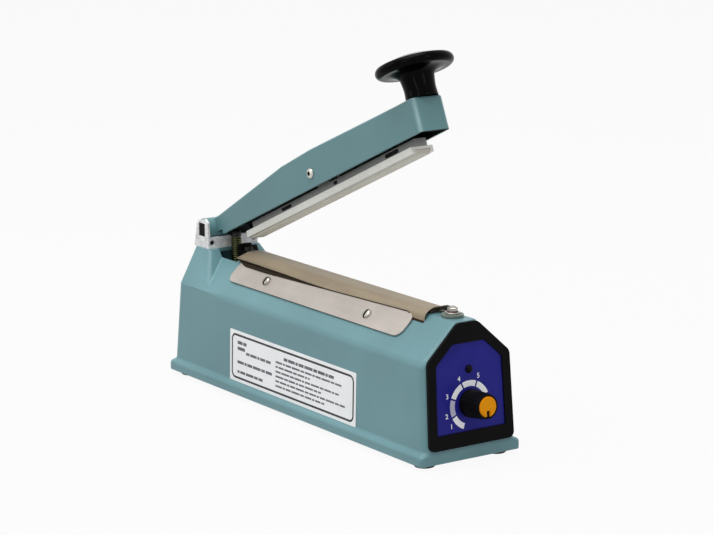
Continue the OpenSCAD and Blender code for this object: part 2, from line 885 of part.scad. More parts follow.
module heating_wire() {
  color("gray") placed() translate([0, 0, strip_z]) linear_extrude(wire_t) difference() {
    union() {
      translate([rear_stud_x, -wire_w / 2]) square([terminal_x - rear_stud_x, wire_w]);
      translate([rear_stud_x, 0]) circle(d = rear_eyelet_d);
      translate([terminal_x, 0]) circle(d = eyelet_d);
    }
    translate([rear_stud_x, 0]) circle(d = rear_stud_d + 2 * hole_fit);
    translate([terminal_x, 0]) circle(d = stud_d + 2 * hole_fit);
  }
}

// Half of the cloth's section: its lower edge, the bend over the strip, and the middle
function cloth_side(t) =
  let (
    s = roof_len - cloth_skirt,
    n = lie_gap + t,
    top = cloth_under + t
  ) [
    [-crease_y + s * cos(roof_a) - n * sin(roof_a), crease_z + s * sin(roof_a) + n * cos(roof_a)],
    [-roof_y(top) - n / sin(roof_a), top]
  ];

module release_cloth() {
  inner = cloth_side(0);
  outer = cloth_side(cloth_t);
  color("tan") placed() translate([seal_x0, 0, 0]) rotate([90, 0, 90])
    linear_extrude(seal_l + cloth_over) polygon([
      outer[0], outer[1], [-outer[1].x, outer[1].y], [-outer[0].x, outer[0].y],
      [-inner[0].x, inner[0].y], [-inner[1].x, inner[1].y], inner[1], inner[0]
    ]);
}

module clamp_plate(far) {
  placed() on_roof(far) translate([0, 0, clamp_lift]) difference() {
    translate([(clamp_x0 + clamp_x1) / 2, clamp_up + clamp_w / 2, 0])
      linear_extrude(clamp_t) rounded(clamp_l, clamp_w, clamp_r);
    at_clamp_screws()
      translate([0, 0, -over]) cylinder(d = clamp_screw_d + 2 * hole_fit, h = clamp_t + 2 * over);
  }
}

module clamp_plate_near() {
  color("silver") clamp_plate(false);
}

module clamp_plate_far() {
  color("silver") clamp_plate(true);
}

module clamp_screws() {
  color("silver") placed() for (far = [false, true])
    on_roof(far) at_clamp_screws() translate([0, 0, clamp_lift + clamp_t])
      rotate([0, 0, 40]) screw(clamp_screw_d, clamp_screw_l, clamp_head_d, clamp_head_h);
}

/* Terminals of the heating wire */

stud_low = in_ridge_z - low_washer_t - lie_gap;
nut_low = wire_z + terminal_washer_t + 2 * lie_gap;

module front_terminal_bolt() {
  color("silver") placed() translate([terminal_x, 0, 0]) {
    translate([0, 0, stud_low - stud_head_t - lie_gap]) hex(stud_head_af, stud_head_t);
    translate([0, 0, stud_low - lie_gap - sliver])
      cylinder(d = stud_d, h = nut_low + terminal_nut_t + stud_tip - stud_low);
  }
}

module front_terminal_insulators() {
  color("darkseagreen") placed() translate([terminal_x, 0, 0]) difference() {
    union() {
      translate([0, 0, ridge_z + lie_gap]) cylinder(d = terminal_d, h = strip_t - 2 * lie_gap);
      translate([0, 0, in_ridge_z + lie_gap]) cylinder(d = spigot_d, h = wall + sliver);
      translate([0, 0, stud_low]) cylinder(d = terminal_washer_d, h = low_washer_t);
    }
    translate([0, 0, stud_low - over])
      cylinder(d = stud_d + 2 * hole_fit, h = strip_z - stud_low + 2 * over);
  }
}

module front_terminal_nuts() {
  color("silver") placed() translate([terminal_x, 0, 0]) difference() {
    union() {
      translate([0, 0, wire_z + lie_gap]) cylinder(d = terminal_washer_d, h = terminal_washer_t);
      translate([0, 0, nut_low]) hex(terminal_nut_af, terminal_nut_t);
    }
    translate([0, 0, wire_z])
      cylinder(d = stud_d + 2 * hole_fit, h = terminal_nut_t + terminal_washer_t + over);
  }
}

module rear_terminal_block() {
  color("black") placed() difference() {
    union() {
      translate([block_x0, -block_w / 2, deck_z])
        cube([block_l, block_w, strip_z - lie_gap - deck_z]);
      translate([block_x0, -block_w / 2, strip_z - over])
        cube([block_fence, block_w, block_up + over]);
    }
    translate([rear_stud_x, 0, deck_z - over]) cylinder(d = rear_stud_d + 2 * hole_fit, h = strip_z);
  }
}

rear_nut_z = in_crease_z - lie_gap - rear_nut_t;

module rear_terminal_bolt() {
  l = wire_z - rear_nut_z + rear_stud_low;
  color("silver") placed() translate([rear_stud_x, 0, wire_z + lie_gap])
    screw(rear_stud_d, l, rear_head_d, rear_head_h);
}

module rear_terminal_nut() {
  color("silver") placed() translate([rear_stud_x, 0, rear_nut_z]) difference() {
    hex(rear_nut_af, rear_nut_t);
    translate([0, 0, -over]) cylinder(d = rear_stud_d + 2 * hole_fit, h = rear_nut_t + 2 * over);
  }
}

/* Leads from the transformer to the two terminals */

// Unit vector, and the ring of a tube at one point of its route
function unit(v) = v / norm(v);
function along(p, i) = unit(p[min(i + 1, len(p) - 1)] - p[max(i - 1, 0)]);
function ring(c, t, r, n) =
  let (a = unit(cross(t, [0.3, 1, 0.2])), b = cross(t, a))
    [for (k = [0 : n - 1]) c + r * (cos(360 * k / n) * a + sin(360 * k / n) * b)];

// The triangles of a tube of m rings with n sides, closed at both ends
function tube_faces(m, n) = concat(
  [for (i = [0 : m - 2], k = [0 : n - 1], h = [0, 1])
    let (k2 = (k + 1) % n, a = i * n + k, b = i * n + k2)
      h == 0 ? [a, b, a + n] : [b, b + n, a + n]],
  [for (k = [1 : n - 2]) [0, k + 1, k]],
  [for (k = [1 : n - 2]) let (o = (m - 1) * n) [o, o + k, o + k + 1]]
);

// A tube that follows points
module tube(p, r, n) {
  polyhedron(
    [for (i = [0 : len(p) - 1]) each ring(p[i], along(p, i), r, n)],
    tube_faces(len(p), n));
}

// A smooth route through a few points
function spline_at(p, i, t) =
  let (
    a = p[max(i - 1, 0)], b = p[i], c = p[i + 1], d = p[min(i + 2, len(p) - 1)]
  ) 0.5 * (2 * b + (c - a) * t + (2 * a - 5 * b + 4 * c - d) * t * t
    + (3 * b - a - 3 * c + d) * t * t * t);
function spline(p, steps) = concat(
  [for (i = [0 : len(p) - 2], k = [0 : steps - 1]) spline_at(p, i, k / steps)], [p[len(p) - 1]]);

coil_top = floor_z + core_h - core_leg - coil_gap;
coil_y = core_stack / 2 + coil_gap + coil_wrap;
lead_y = coil_y - coil_wrap / 2;
lead_sides = 8;
lead_steps = 4;
lead_out = 14;
lead_rise = 8;
lead_tail = 12;

// A lead's points: up out of the coil, over to the middle, and straight to its terminal
function lead_route(start, end, z) =
  let (
    way = end - start,
    top = coil_top + lead_rise,
    tail = end - sign(way) * lead_tail
  ) [
    [start, lead_y, coil_top + lie_gap], [start + way * 0.02, lead_y, top],
    [start + way * 0.28, lead_y * 0.72, top + (z - top) * 0.4],
    [start + way * 0.6, lead_y * 0.3, top + (z - top) * 0.8],
    [tail, 0, z], [end, 0, z]
  ];

module heater_leads() {
  front_end = terminal_x - stud_head_af / cos(30) / 2 - lie_gap;
  front_z = stud_low - lie_gap - stud_head_t / 2;
  rear_end = rear_stud_x + rear_stud_d / 2 + lie_gap;
  rear_z = rear_nut_z - rear_stud_low / 2;
  front = lead_route(core_x + lead_out, front_end, front_z);
  rear = lead_route(core_x - lead_out, rear_end, rear_z);
  color("red") placed() for (route = [front, rear])
    tube(spline(route, lead_steps), lead_d / 2, lead_sides);
}

/* Hinge */

module cheek_outline() {
  difference() {
    union() {
      polygon([
        [yoke_x0, pillar_z], [yoke_x1, pillar_z], [yoke_x1, pillar_z + lip_h],
        yoke_top_front + [yoke_top_r * 0.4, -yoke_top_r], yoke_top_front - [yoke_top_r, 0],
        yoke_top_rear + [yoke_top_r, yoke_corner], yoke_top_rear - [yoke_corner, yoke_top_r]
      ]);
    }
    translate([pivot_x, pivot_z]) square([bush_w + 2 * lie_gap, bush_h + 2 * lie_gap], center = true);
  }
}

module hinge_yoke() {
  color("gainsboro") placed() difference() {
    union() {
      for (y = [-cheek_in, cheek_y])
        translate([0, y, 0]) rotate([90, 0, 0]) linear_extrude(yoke_t) cheek_outline();
      translate([yoke_x0, -cheek_y, pillar_z]) cube([yoke_x1 - yoke_x0, yoke_w, yoke_t]);
      translate([yoke_x1 - yoke_t, -cheek_y, pillar_z]) cube([yoke_t, yoke_w, lip_h]);
    }
    for (y = [-1, 1])
      translate([0, y * (cheek_y - lip_hole_in), pillar_z + lip_hole_z])
        x_bar(lip_hole_d, yoke_x1 - yoke_t - over, yoke_x1 + over);
    at_yoke_screws()
      translate([0, 0, pillar_z - over]) cylinder(d = yoke_screw_d + 2 * hole_fit, h = yoke_t + 2 * over);
  }
}

module yoke_screws() {
  color("silver") placed() at_yoke_screws() translate([0, 0, pillar_z + yoke_t])
    screw(yoke_screw_d, yoke_screw_l, yoke_head_d, yoke_head_h);
}

module hinge_bushes() {
  color("black") placed() for (side = [0, 1]) mirror([0, side, 0])
    translate([pivot_x, 0, pivot_z]) difference() {
      translate([-bush_w / 2, cheek_in, -bush_h / 2]) cube([bush_w, yoke_t - bush_sunk, bush_h]);
      y_bar(pin_d + 2 * run_fit, cheek_in - over, cheek_y - bush_sunk - bush_skin);
    }
}

module hinge_pin() {
  end = cheek_y - bush_sunk - bush_skin - lie_gap;
  color("silver") placed() translate([pivot_x, 0, pivot_z]) y_bar(pin_d, -end, end);
}

/* Return spring, push rod and switch */

coil_r = (spring_d - spring_wire) / 2;
coil_rings = 8;
coil_sides = 6;
coil_low = spring_z0 + spring_wire / 2 + lie_gap;
coil_high = spring_z1 - spring_wire / 2 - lie_gap;

// A point of the spring's helix, from its lower end to its upper one
function helix(t) = [
  coil_r * cos(360 * spring_curls * t),
  coil_r * sin(360 * spring_curls * t),
  coil_low + (coil_high - coil_low) * t
];
coil_points = [for (i = [0 : spring_curls * coil_rings]) helix(i / (spring_curls * coil_rings))];

// The least gap between wires that are at least half a curl apart along the spring
coil_gaps = [
  for (i = [0 : coil_rings - 1], j = [i + coil_rings / 2 : i + 2 * coil_rings])
    norm(coil_points[i] - coil_points[j]) - spring_wire
];
echo(least_spring_gap = min(coil_gaps));

module return_spring() {
  color("darkolivegreen") placed() translate([spring_x, 0, 0])
    tube(coil_points, spring_wire / 2, coil_sides);
}

module rod_guide() {
  color("ivory") placed() translate([spring_x, 0, 0]) difference() {
    union() {
      translate([0, 0, deck_z]) cylinder(d = guide_flange_d, h = guide_flange_t);
      translate([0, 0, deck_z - guide_l]) cylinder(d = guide_d, h = guide_l + sliver);
    }
    translate([0, 0, deck_z - guide_l - over])
      cylinder(d = rod_d + 2 * run_fit, h = guide_l + guide_flange_t + 2 * over);
  }
}

module push_rod() {
  color("dimgray") placed() translate([spring_x, 0, 0]) {
    translate([0, 0, rod_low]) cylinder(d = rod_d, h = spring_z1 + sliver - rod_low);
    translate([0, 0, spring_z1]) cylinder(r = rod_cap_r, h = rod_collar + sliver);
    intersection() {
      translate([0, 0, rod_cap_z]) sphere(r = rod_cap_r);
      translate([0, 0, rod_cap_z]) cylinder(r = rod_cap_r, h = rod_cap_r);
    }
  }
}

module at_switch_screws() {
  for (x = [switch_x0 + switch_screw_in, switch_x1 - switch_screw_in])
    translate([x, 0, switch_z - switch_h + switch_screw_in]) children();
}

module micro_switch() {
  color("saddlebrown") placed() difference() {
    union() {
      translate([switch_x0, -switch_t / 2, switch_z - switch_h])
        cube([switch_l, switch_t, switch_h]);
      for (s = [0, 1]) mirror([0, s, 0])
        translate([lever_x - ear_run / 2, lever_w / 2 + ear_gap, switch_z - sliver])
          cube([ear_run, ear_t, lever_z - switch_z + ear_up]);
    }
    at_switch_screws() y_bar(switch_screw_d + 2 * hole_fit, -switch_t, switch_t);
    translate([lever_x, 0, lever_z]) y_bar(lever_pin_d + 2 * run_fit, -ear_w, ear_w);
  }
}

module switch_lever() {
  color("silver") placed() translate([lever_x, 0, lever_z]) {
    rotate([0, lever_tilt, 0]) translate([-lever_l, -lever_w / 2, -lever_t / 2])
      cube([lever_l, lever_w, lever_t]);
    y_bar(lever_pin_d, -ear_w / 2, ear_w / 2);
  }
}

module at_bracket_screws() {
  for (x = [switch_x0 + bracket_screw_in, switch_x1 - bracket_screw_in])
    translate([x, switch_t / 2 + bracket_t + bracket_foot / 2, 0]) children();
}

module switch_bracket() {
  y = switch_t / 2 + lie_gap;
  color("lightgray") placed() difference() {
    union() {
      translate([switch_x0, y, floor_z]) cube([switch_l, bracket_t, switch_z - floor_z - bracket_low]);
      translate([switch_x0, y, floor_z]) cube([switch_l, bracket_t + bracket_foot, bracket_t]);
    }
    at_switch_screws() y_bar(switch_screw_d + 2 * hole_fit, 0, switch_t);
    at_bracket_screws() cylinder(d = switch_screw_d + 2 * hole_fit, h = floor_z + 2 * bracket_t);
  }
}

module switch_screws() {
  color("silver") placed() at_switch_screws() translate([0, -switch_t / 2, 0]) rotate([90, 0, 0])
    screw(switch_screw_d, switch_t + bracket_t + screw_tip, switch_head_d, switch_head_h);
}

module bracket_screws() {
  color("silver") placed() at_bracket_screws() translate([0, 0, floor_z + bracket_t])
    screw(switch_screw_d, bracket_t + floor_t, switch_head_d, switch_head_h);
}

/* Transformer, terminal strip and cord inlet */

module transformer_core() {
  window_h = core_h - 2 * core_leg;
  color("dimgray") placed() translate([core_x, 0, floor_z]) difference() {
    translate([-core_l / 2, -core_stack / 2, 0]) cube([core_l, core_stack, core_h]);
    for (x = [-1, 1])
      translate([x * 1.5 * core_leg - core_leg / 2, -core_stack, core_leg])
        cube([core_leg, 2 * core_stack, window_h]);
  }
}

module transformer_coil() {
  leg = core_leg + coil_gap;
  color("goldenrod") placed() translate([core_x, 0, floor_z + core_leg + coil_gap])
    linear_extrude(core_h - 2 * core_leg - 2 * coil_gap) difference() {
      square([2 * (leg + coil_wrap - coil_gap), 2 * coil_y], center = true);
      square([2 * leg, core_stack + 2 * coil_gap], center = true);
    }
}

module at_strap_screws() {
  for (x = [-1, 1])
    translate([core_x + x * (core_l / 2 + strap_t + strap_foot / 2), 0, 0]) children();
}

module transformer_strap() {
  out = core_l / 2 + lie_gap;
  color("lightgray") placed() difference() {
    translate([core_x, strap_w / 2, floor_z]) rotate([90, 0, 0]) linear_extrude(strap_w) difference() {
      union() {
        translate([-out - strap_t, 0]) square([2 * (out + strap_t), core_h + strap_t + lie_gap]);
        translate([-out - strap_t - strap_foot, 0])
          square([2 * (out + strap_t + strap_foot), strap_t]);
      }
      translate([-out, -over]) square([2 * out, core_h + lie_gap + over]);
    }
    at_strap_screws() cylinder(d = strap_screw_d + 2 * hole_fit, h = floor_z + 2 * strap_t);
  }
}

module strap_screws() {
  color("silver") placed() at_strap_screws() translate([0, 0, floor_z + strap_t])
    screw(strap_screw_d, strap_t + floor_t, strap_head_d, strap_head_h);
}

module at_strip_screws() {
  for (x = [-1, 1])
    translate([strip_x + x * (strip_l + strip_foot) / 2, 0, 0]) children();
}

module terminal_strip() {
  color("white") placed() difference() {
    translate([strip_x, 0, floor_z]) {
      translate([-strip_l / 2, -strip_w / 2, 0]) cube([strip_l, strip_w, strip_h]);
      translate([-strip_l / 2 - strip_foot, -strip_w / 2, 0])
        cube([strip_l + 2 * strip_foot, strip_w, strip_foot_t]);
    }
    at_strip_screws() cylinder(d = strip_screw_d + 2 * hole_fit, h = floor_z + 2 * strip_foot_t);
    for (x = [-1, 0, 1])
      translate([strip_x + x * strip_l / 3, 0, floor_z + strip_h / 2])
        y_bar(strip_hole_d, -strip_w, strip_w);
  }
}

module strip_screws() {
  color("silver") placed() at_strip_screws() translate([0, 0, floor_z + strip_foot_t])
    screw(strip_screw_d, strip_foot_t + floor_t, strip_head_d, strip_head_h);
}

module cord_grommet() {
  t = wall * cos(rear_tilt);
  color("black") on_inlet() difference() {
    union() {
      x_bar(inlet_flange_d, lie_gap, inlet_flange_t);
      x_bar(inlet_neck_d, -t - lie_gap - inlet_flange_t / 2, inlet_flange_t / 2);
      x_bar(inlet_flange_d - 1, -t - lie_gap - inlet_flange_t, -t - lie_gap);
    }
    x_bar(inlet_d, -t - 2 * over - inlet_flange_t, inlet_flange_t + over);
  }
}

/* Arm */

// Side view of the arm
arm_outline = [
  [0, notch_v], [notch_u, notch_v], [notch_u, -arm_drop], [arm_l, -arm_drop],
  [arm_l, nose_h], [grip_u - flat_u, nose_h], [crest_u, arm_h], [rise_u, arm_h - crest_drop],
  [tail_u, tail_h], [0, tail_h]
];

// Side view of the hollow under the arm
hollow_outline = [
  [cavity_u, -arm_drop - over], [arm_l - arm_wall, -arm_drop - over],
  [arm_l - arm_wall, nose_h - arm_wall], [grip_u - flat_u, nose_h - arm_wall],
  [crest_u, arm_h - arm_wall], [rise_u, arm_h - crest_drop - arm_wall], [cavity_u, tail_h - arm_wall]
];

// A shape of the arm's side view, as wide as w
module side_view(points, w) {
  rotate([90, 0, 0]) linear_extrude(w, center = true) polygon(points);
}

// The arm seen from above, with round corners at its nose
module arm_plan() {
  translate([-hub_d, -arm_w / 2]) square([hub_d + arm_l - nose_r, arm_w]);
  translate([arm_l - 2 * nose_r, -arm_w / 2 + nose_r]) square([2 * nose_r, arm_w - 2 * nose_r]);
  for (y = [-1, 1])
    translate([arm_l - nose_r, y * (arm_w / 2 - nose_r)]) circle(r = nose_r);
}

module arm_shell() {
  hub_y = cheek_in - hub_gap;
  color("cadetblue") on_arm() difference() {
    union() {
      difference() {
        intersection() {
          side_view(arm_outline, arm_w);
          translate([0, 0, -2 * arm_drop]) linear_extrude(4 * arm_h) arm_plan();
        }
        side_view(hollow_outline, 2 * arm_in);
        translate([seat_u0, -arm_in, -arm_drop - over])
          cube([cavity_u - seat_u0 + over, 2 * arm_in, arm_drop + over + seat_v]);
      }
      y_bar(hub_d, -hub_y, hub_y);
      translate([seat_u0, -arm_in - sliver, seat_v])
        cube([seat_u1 - seat_u0, 2 * (arm_in + sliver), seat_t]);
    }
    y_bar(pin_d + 2 * run_fit, -yoke_w, yoke_w);
    translate([rock_along, 0, rock_up]) y_bar(rock_d + 2 * hole_fit, -arm_w, arm_w);
    translate([grip_u, 0, 0]) cylinder(d = bolt_d + 2 * hole_fit, h = 2 * arm_h);
  }
}

// Half of the handle knob's outline, from its foot to the middle of its crown
grip_rim_r = 3.3;
grip_crown = 4.2;
grip_flare = 9;
grip_waist = 0.5;
grip_step = 0.6;
grip_lap = 0.4;
grip_rim_z = grip_h - grip_rim_r - grip_crown;
function grip_profile() =
  let (
    foot = grip_stem_d / 2,
    neck_z = grip_h * 0.42,
    flare = [for (k = [0 : 6]) let (a = 15 * k)
      [foot + grip_step + grip_flare * (1 - cos(a)),
        neck_z + (grip_rim_z - grip_rim_r - neck_z + grip_lap) * sin(a)]],
    rim = [for (k = [0 : 8]) let (a = -90 + 20 * k)
      [grip_d / 2 - grip_rim_r + grip_rim_r * cos(a), grip_rim_z + grip_rim_r * sin(a)]],
    crown = [for (k = [1 : 6]) let (t = k / 6)
      [(grip_d / 2 - grip_rim_r) * (1 - t),
        grip_rim_z + grip_rim_r + (grip_h - grip_rim_z - grip_rim_r) * sin(90 * t)]]
  ) concat([[0, 0], [foot, 0], [foot - grip_waist, neck_z * 0.5]], flare, rim, crown);

module handle_knob() {
  color("black") on_arm() translate([grip_u, 0, nose_h]) difference() {
    rotate_extrude() polygon(grip_profile());
    translate([0, 0, -over]) cylinder(d = bolt_d + 2 * hole_fit, h = bolt_in + hole_fit + over);
  }
}

module knob_bolt() {
  head = nose_h - arm_wall - lie_gap;
  color("silver") on_arm() translate([grip_u, 0, 0]) {
    translate([0, 0, head - bolt_head_t]) cylinder(d = bolt_head_d, h = bolt_head_t);
    translate([0, 0, head - sliver]) cylinder(d = bolt_d, h = nose_h + bolt_in - head);
  }
}

module rock_screw() {
  color("silver") on_arm() translate([rock_along, -arm_w / 2, rock_up]) rotate([90, 0, 0])
    screw(rock_d, arm_w + rock_nut_t + screw_tip / 2, rock_head_d, rock_head_h);
}

module rock_nut() {
  color("silver") on_arm() translate([rock_along, arm_w / 2, rock_up]) rotate([-90, 0, 0]) difference() {
    translate([0, 0, lie_gap]) hex(rock_nut_af, rock_nut_t);
    cylinder(d = rock_d + 2 * hole_fit, h = rock_nut_t + over);
  }
}

/* Pressing bar, which rocks in the arm */

module at_rail_screws() {
  for (u = [bar_start + rail_screw_in, bar_start + bar_l - rail_screw_in])
    translate([u, 0, holder_top]) children();
}

module bar_holder() {
  color("dimgray") on_arm() difference() {
    union() {
      translate([bar_start + holder_in, -holder_w / 2, holder_low])
        cube([bar_l - holder_in, holder_w, holder_t]);
      for (y = [-holder_w / 2, holder_w / 2 - holder_ear_t])
        translate([rock_along - ear_l / 2, y, holder_top - sliver])
          cube([ear_l, holder_ear_t, ear_top - holder_top]);
    }
    translate([rock_along, 0, rock_up]) y_bar(rock_d + 2 * run_fit, -holder_w, holder_w);
    at_rail_screws() translate([0, 0, -holder_t - over])
      cylinder(d = rail_screw_d + 2 * hole_fit, h = holder_t + 2 * over);
  }
}

module bar_rail() {
  g = lie_gap;
  color("gainsboro") on_arm() difference() {
    translate([bar_start, 0, 0]) rotate([90, 0, 90]) linear_extrude(bar_l) difference() {
      translate([-rail_w / 2, rail_low]) square([rail_w, rail_h - g]);
      translate([-silicone_w / 2 - g, rail_low + rail_lip])
        square([silicone_w + 2 * g, silicone_in + g]);
      translate([-silicone_w / 2 + rail_lip, rail_low - over])
        square([silicone_w - 2 * rail_lip, rail_lip + 2 * over]);
    }
    at_rail_screws() translate([0, 0, -rail_screw_l - g])
      cylinder(d = rail_screw_d + 2 * hole_fit, h = rail_screw_l);
  }
}

module silicone_strip() {
  g = lie_gap;
  color("wheat") on_arm() translate([bar_start, 0, 0]) rotate([90, 0, 90]) linear_extrude(bar_l) {
    translate([-silicone_w / 2, rail_low + rail_lip + g]) square([silicone_w, silicone_in - g]);
    translate([-silicone_w / 2 + rail_lip + g, bar_low])
      square([silicone_w - 2 * rail_lip - 2 * g, silicone_out + rail_lip + 2 * g]);
  }
}

module rail_screws() {
  color("silver") on_arm() at_rail_screws()
    screw(rail_screw_d, rail_screw_l - lie_gap, rail_screw_head_d, rail_screw_head_h);
}

housing();
bottom_plate();
rubber_feet();
foot_screws();
side_label();
panel_bezel();
panel_face();
indicator_lamp();
timer_pot();
pot_nut();
timer_board();
board_standoffs();
timer_relay();
timer_capacitor();
insulating_strip();
heating_wire();
release_cloth();
clamp_plate_near();
clamp_plate_far();
clamp_screws();
front_terminal_bolt();
front_terminal_insulators();
front_terminal_nuts();
rear_terminal_block();
rear_terminal_bolt();
rear_terminal_nut();
heater_leads();
hinge_yoke();
yoke_screws();
hinge_bushes();
hinge_pin();
return_spring();
rod_guide();
micro_switch();
switch_bracket();
switch_screws();
bracket_screws();
transformer_core();
transformer_coil();
transformer_strap();
strap_screws();
terminal_strip();
strip_screws();
cord_grommet();
arm_shell();
handle_knob();
knob_bolt();
rock_screw();
rock_nut();
bar_holder();
bar_rail();
silicone_strip();
rail_screws();
timer_knob();
knob_cap();
pot_shaft();
push_rod();
switch_lever();
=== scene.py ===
# %% [markdown]
# A hand impulse sealer closes plastic bags. An arm with a handle knob presses a soft bar on a
# heated ridge, and a timer on the front sets how long the wire stays warm. The solids of every
# part come from the CAD frame. Blender could build them again, but then the joints would drift
# away from the looks, so the frame is loaded as it is and only dressed.

# %% Load the frame
import json
import math

import bmesh
import bpy
from mathutils import Matrix, Vector
from mathutils.bvhtree import BVHTree

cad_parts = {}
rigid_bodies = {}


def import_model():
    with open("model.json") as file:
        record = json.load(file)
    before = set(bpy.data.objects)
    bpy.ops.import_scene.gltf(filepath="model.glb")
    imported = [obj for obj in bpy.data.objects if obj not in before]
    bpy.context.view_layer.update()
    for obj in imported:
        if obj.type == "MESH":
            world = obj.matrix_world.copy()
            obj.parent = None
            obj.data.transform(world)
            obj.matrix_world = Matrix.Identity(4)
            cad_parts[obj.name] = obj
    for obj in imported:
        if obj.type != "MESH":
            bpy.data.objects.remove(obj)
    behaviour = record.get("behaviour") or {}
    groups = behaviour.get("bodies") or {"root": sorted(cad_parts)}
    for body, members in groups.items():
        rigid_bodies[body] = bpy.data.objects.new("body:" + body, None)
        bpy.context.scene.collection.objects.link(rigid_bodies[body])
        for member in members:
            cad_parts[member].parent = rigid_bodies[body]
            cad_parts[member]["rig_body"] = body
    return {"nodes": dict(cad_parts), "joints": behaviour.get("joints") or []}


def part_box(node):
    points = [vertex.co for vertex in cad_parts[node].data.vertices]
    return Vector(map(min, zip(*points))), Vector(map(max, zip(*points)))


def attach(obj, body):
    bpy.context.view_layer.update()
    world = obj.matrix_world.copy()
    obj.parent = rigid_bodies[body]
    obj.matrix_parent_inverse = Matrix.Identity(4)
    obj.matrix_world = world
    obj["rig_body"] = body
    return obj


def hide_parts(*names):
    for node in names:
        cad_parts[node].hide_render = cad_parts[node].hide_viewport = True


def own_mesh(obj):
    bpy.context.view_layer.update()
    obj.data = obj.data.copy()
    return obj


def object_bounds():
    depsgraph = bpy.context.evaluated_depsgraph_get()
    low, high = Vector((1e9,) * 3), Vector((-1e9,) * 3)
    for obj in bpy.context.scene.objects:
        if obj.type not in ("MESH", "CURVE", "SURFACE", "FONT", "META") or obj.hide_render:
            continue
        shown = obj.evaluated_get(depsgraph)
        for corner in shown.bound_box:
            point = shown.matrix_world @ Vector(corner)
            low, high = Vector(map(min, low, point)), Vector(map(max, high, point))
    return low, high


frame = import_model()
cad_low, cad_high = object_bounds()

MM = 0.001
nodes = frame["nodes"]
joints = {joint["name"]: joint for joint in frame["joints"]}
scene = bpy.context.scene

# %% [markdown]
# The photograph was taken from the timer's side, a little above the table. A camera could be
# placed by eye, but the edges of the base give its direction and distance exactly, so the
# fitted numbers are written down once here.

# %% Camera
IMAGE_WIDTH = 713
SENSOR_WIDTH = 36
focal_px = 2600.9
view_turn, view_tilt, view_roll = (math.radians(a) for a in (55.22, 12.27, -0.12))
view_place = Vector((1.3581, -0.9315, 0.4559))

lens = bpy.data.cameras.new("photo_lens")
lens.sensor_fit = "HORIZONTAL"
lens.sensor_width = SENSOR_WIDTH
lens.lens = focal_px * SENSOR_WIDTH / IMAGE_WIDTH
eye = bpy.data.objects.new("photo_eye", lens)
scene.collection.objects.link(eye)
eye.matrix_world = (
    Matrix.Translation(view_place) @ Matrix.Rotation(view_turn, 4, "Z")
    @ Matrix.Rotation(math.pi / 2 - view_tilt, 4, "X") @ Matrix.Rotation(view_roll, 4, "Z"))
scene.camera = eye
print("camera: lens", round(lens.lens, 1), "mm at", tuple(round(c, 3) for c in view_place))

# %% [markdown]
# A material in Blender is a graph of nodes. It could be drawn by hand in the editor, but a
# formula is easier to read, so one small class wraps a socket: sums and products of wrapped
# sockets add the Math nodes, and one method adds any other node.

# %% Shader fields
def plug(tree, socket, value):
    """Feeds a socket with a field, or sets it to a plain value."""
    if isinstance(value, Field):
        tree.links.new(value.socket, socket)
    else:
        socket.default_value = value


class Field:
    """One output of a node tree, which can be used in Python sums."""

    def __init__(self, tree, socket):
        self.tree = tree
        self.socket = socket

    def node(self, kind, settings=None, sockets=None, out=0):
        """Adds a node: its settings first, then the values or links of its sockets."""
        made = self.tree.nodes.new(kind)
        for key, value in (settings or {}).items():
            setattr(made, key, value)
        for key, value in (sockets or {}).items():
            plug(self.tree, made.inputs[key], value)
        return Field(self.tree, made.outputs[out])

    def math(self, operation, *values):
        return self.node("ShaderNodeMath", {"operation": operation}, dict(enumerate(values)))

    def __add__(self, other):
        return self.math("ADD", self, other)

    def __mul__(self, other):
        return self.math("MULTIPLY", self, other)

    def __rsub__(self, other):
        return self.math("SUBTRACT", other, self)

    def between(self, low, high, bottom=0.0, top=1.0):
        """This value, stretched from low...high to bottom...top and clipped there."""
        return self.node("ShaderNodeMapRange", {}, {
            "Value": self, "From Min": low, "From Max": high, "To Min": bottom, "To Max": top})

    def tint(self, dark, light):
        """A colour between two, with this value as the share of the second."""
        return self.node(
            "ShaderNodeMix", {"data_type": "RGBA"}, {0: self, 6: dark, 7: light}, out=2)

    def stretched(self, scale):
        return self.node("ShaderNodeMapping", {}, {"Vector": self, "Scale": scale})

    def noise(self, scale, detail=2.0, roughness=0.5):
        return self.node("ShaderNodeTexNoise", {}, {
            "Vector": self, "Scale": scale, "Detail": detail, "Roughness": roughness})

    def specks(self, scale):
        return self.node("ShaderNodeTexVoronoi", {}, {"Vector": self, "Scale": scale})

    def axis(self, number):
        return self.node("ShaderNodeSeparateXYZ", {}, {0: self}, out=number)

    def bump(self, distance, strength=1.0):
        return self.node("ShaderNodeBump", {}, {
            "Height": self, "Distance": distance, "Strength": strength})


print("shader fields: ready")

# %% [markdown]
# Each finish starts the same way: a material with its surface shader, and the place on the piece
# in metres, so that grain has its real size. Helpers for paint, plastic and metal could each
# repeat this, and one short function saves that.

# %% A new finish
looks = {}


def feed(shader, **values):
    """Sets or links the sockets of a shader: colour, roughness, normal and the like."""
    for key, value in values.items():
        name = key.replace("_", " ").title().replace("Ior", "IOR")
        plug(shader.id_data, shader.inputs[name], value)


def finish(name, **constants):
    """Starts a look: gives its shader, with the plain values set, and the place on the piece."""
    material = looks[name] = bpy.data.materials.new(name)
    material.use_nodes = True
    tree = material.node_tree
    shader = tree.nodes["Principled BSDF"]
    feed(shader, **constants)
    return shader, Field(tree, tree.nodes.new("ShaderNodeTexCoord").outputs["Object"])


print("finishes: ready to mix")

# %% [markdown]
# The studio is a pale floor under a white sky with four soft lamps. A white picture could
# be forced with more light, but that would bleach the paint, so only the rays that the camera,
# gloss and glass send out see white, and the lamps stay at a plain level.

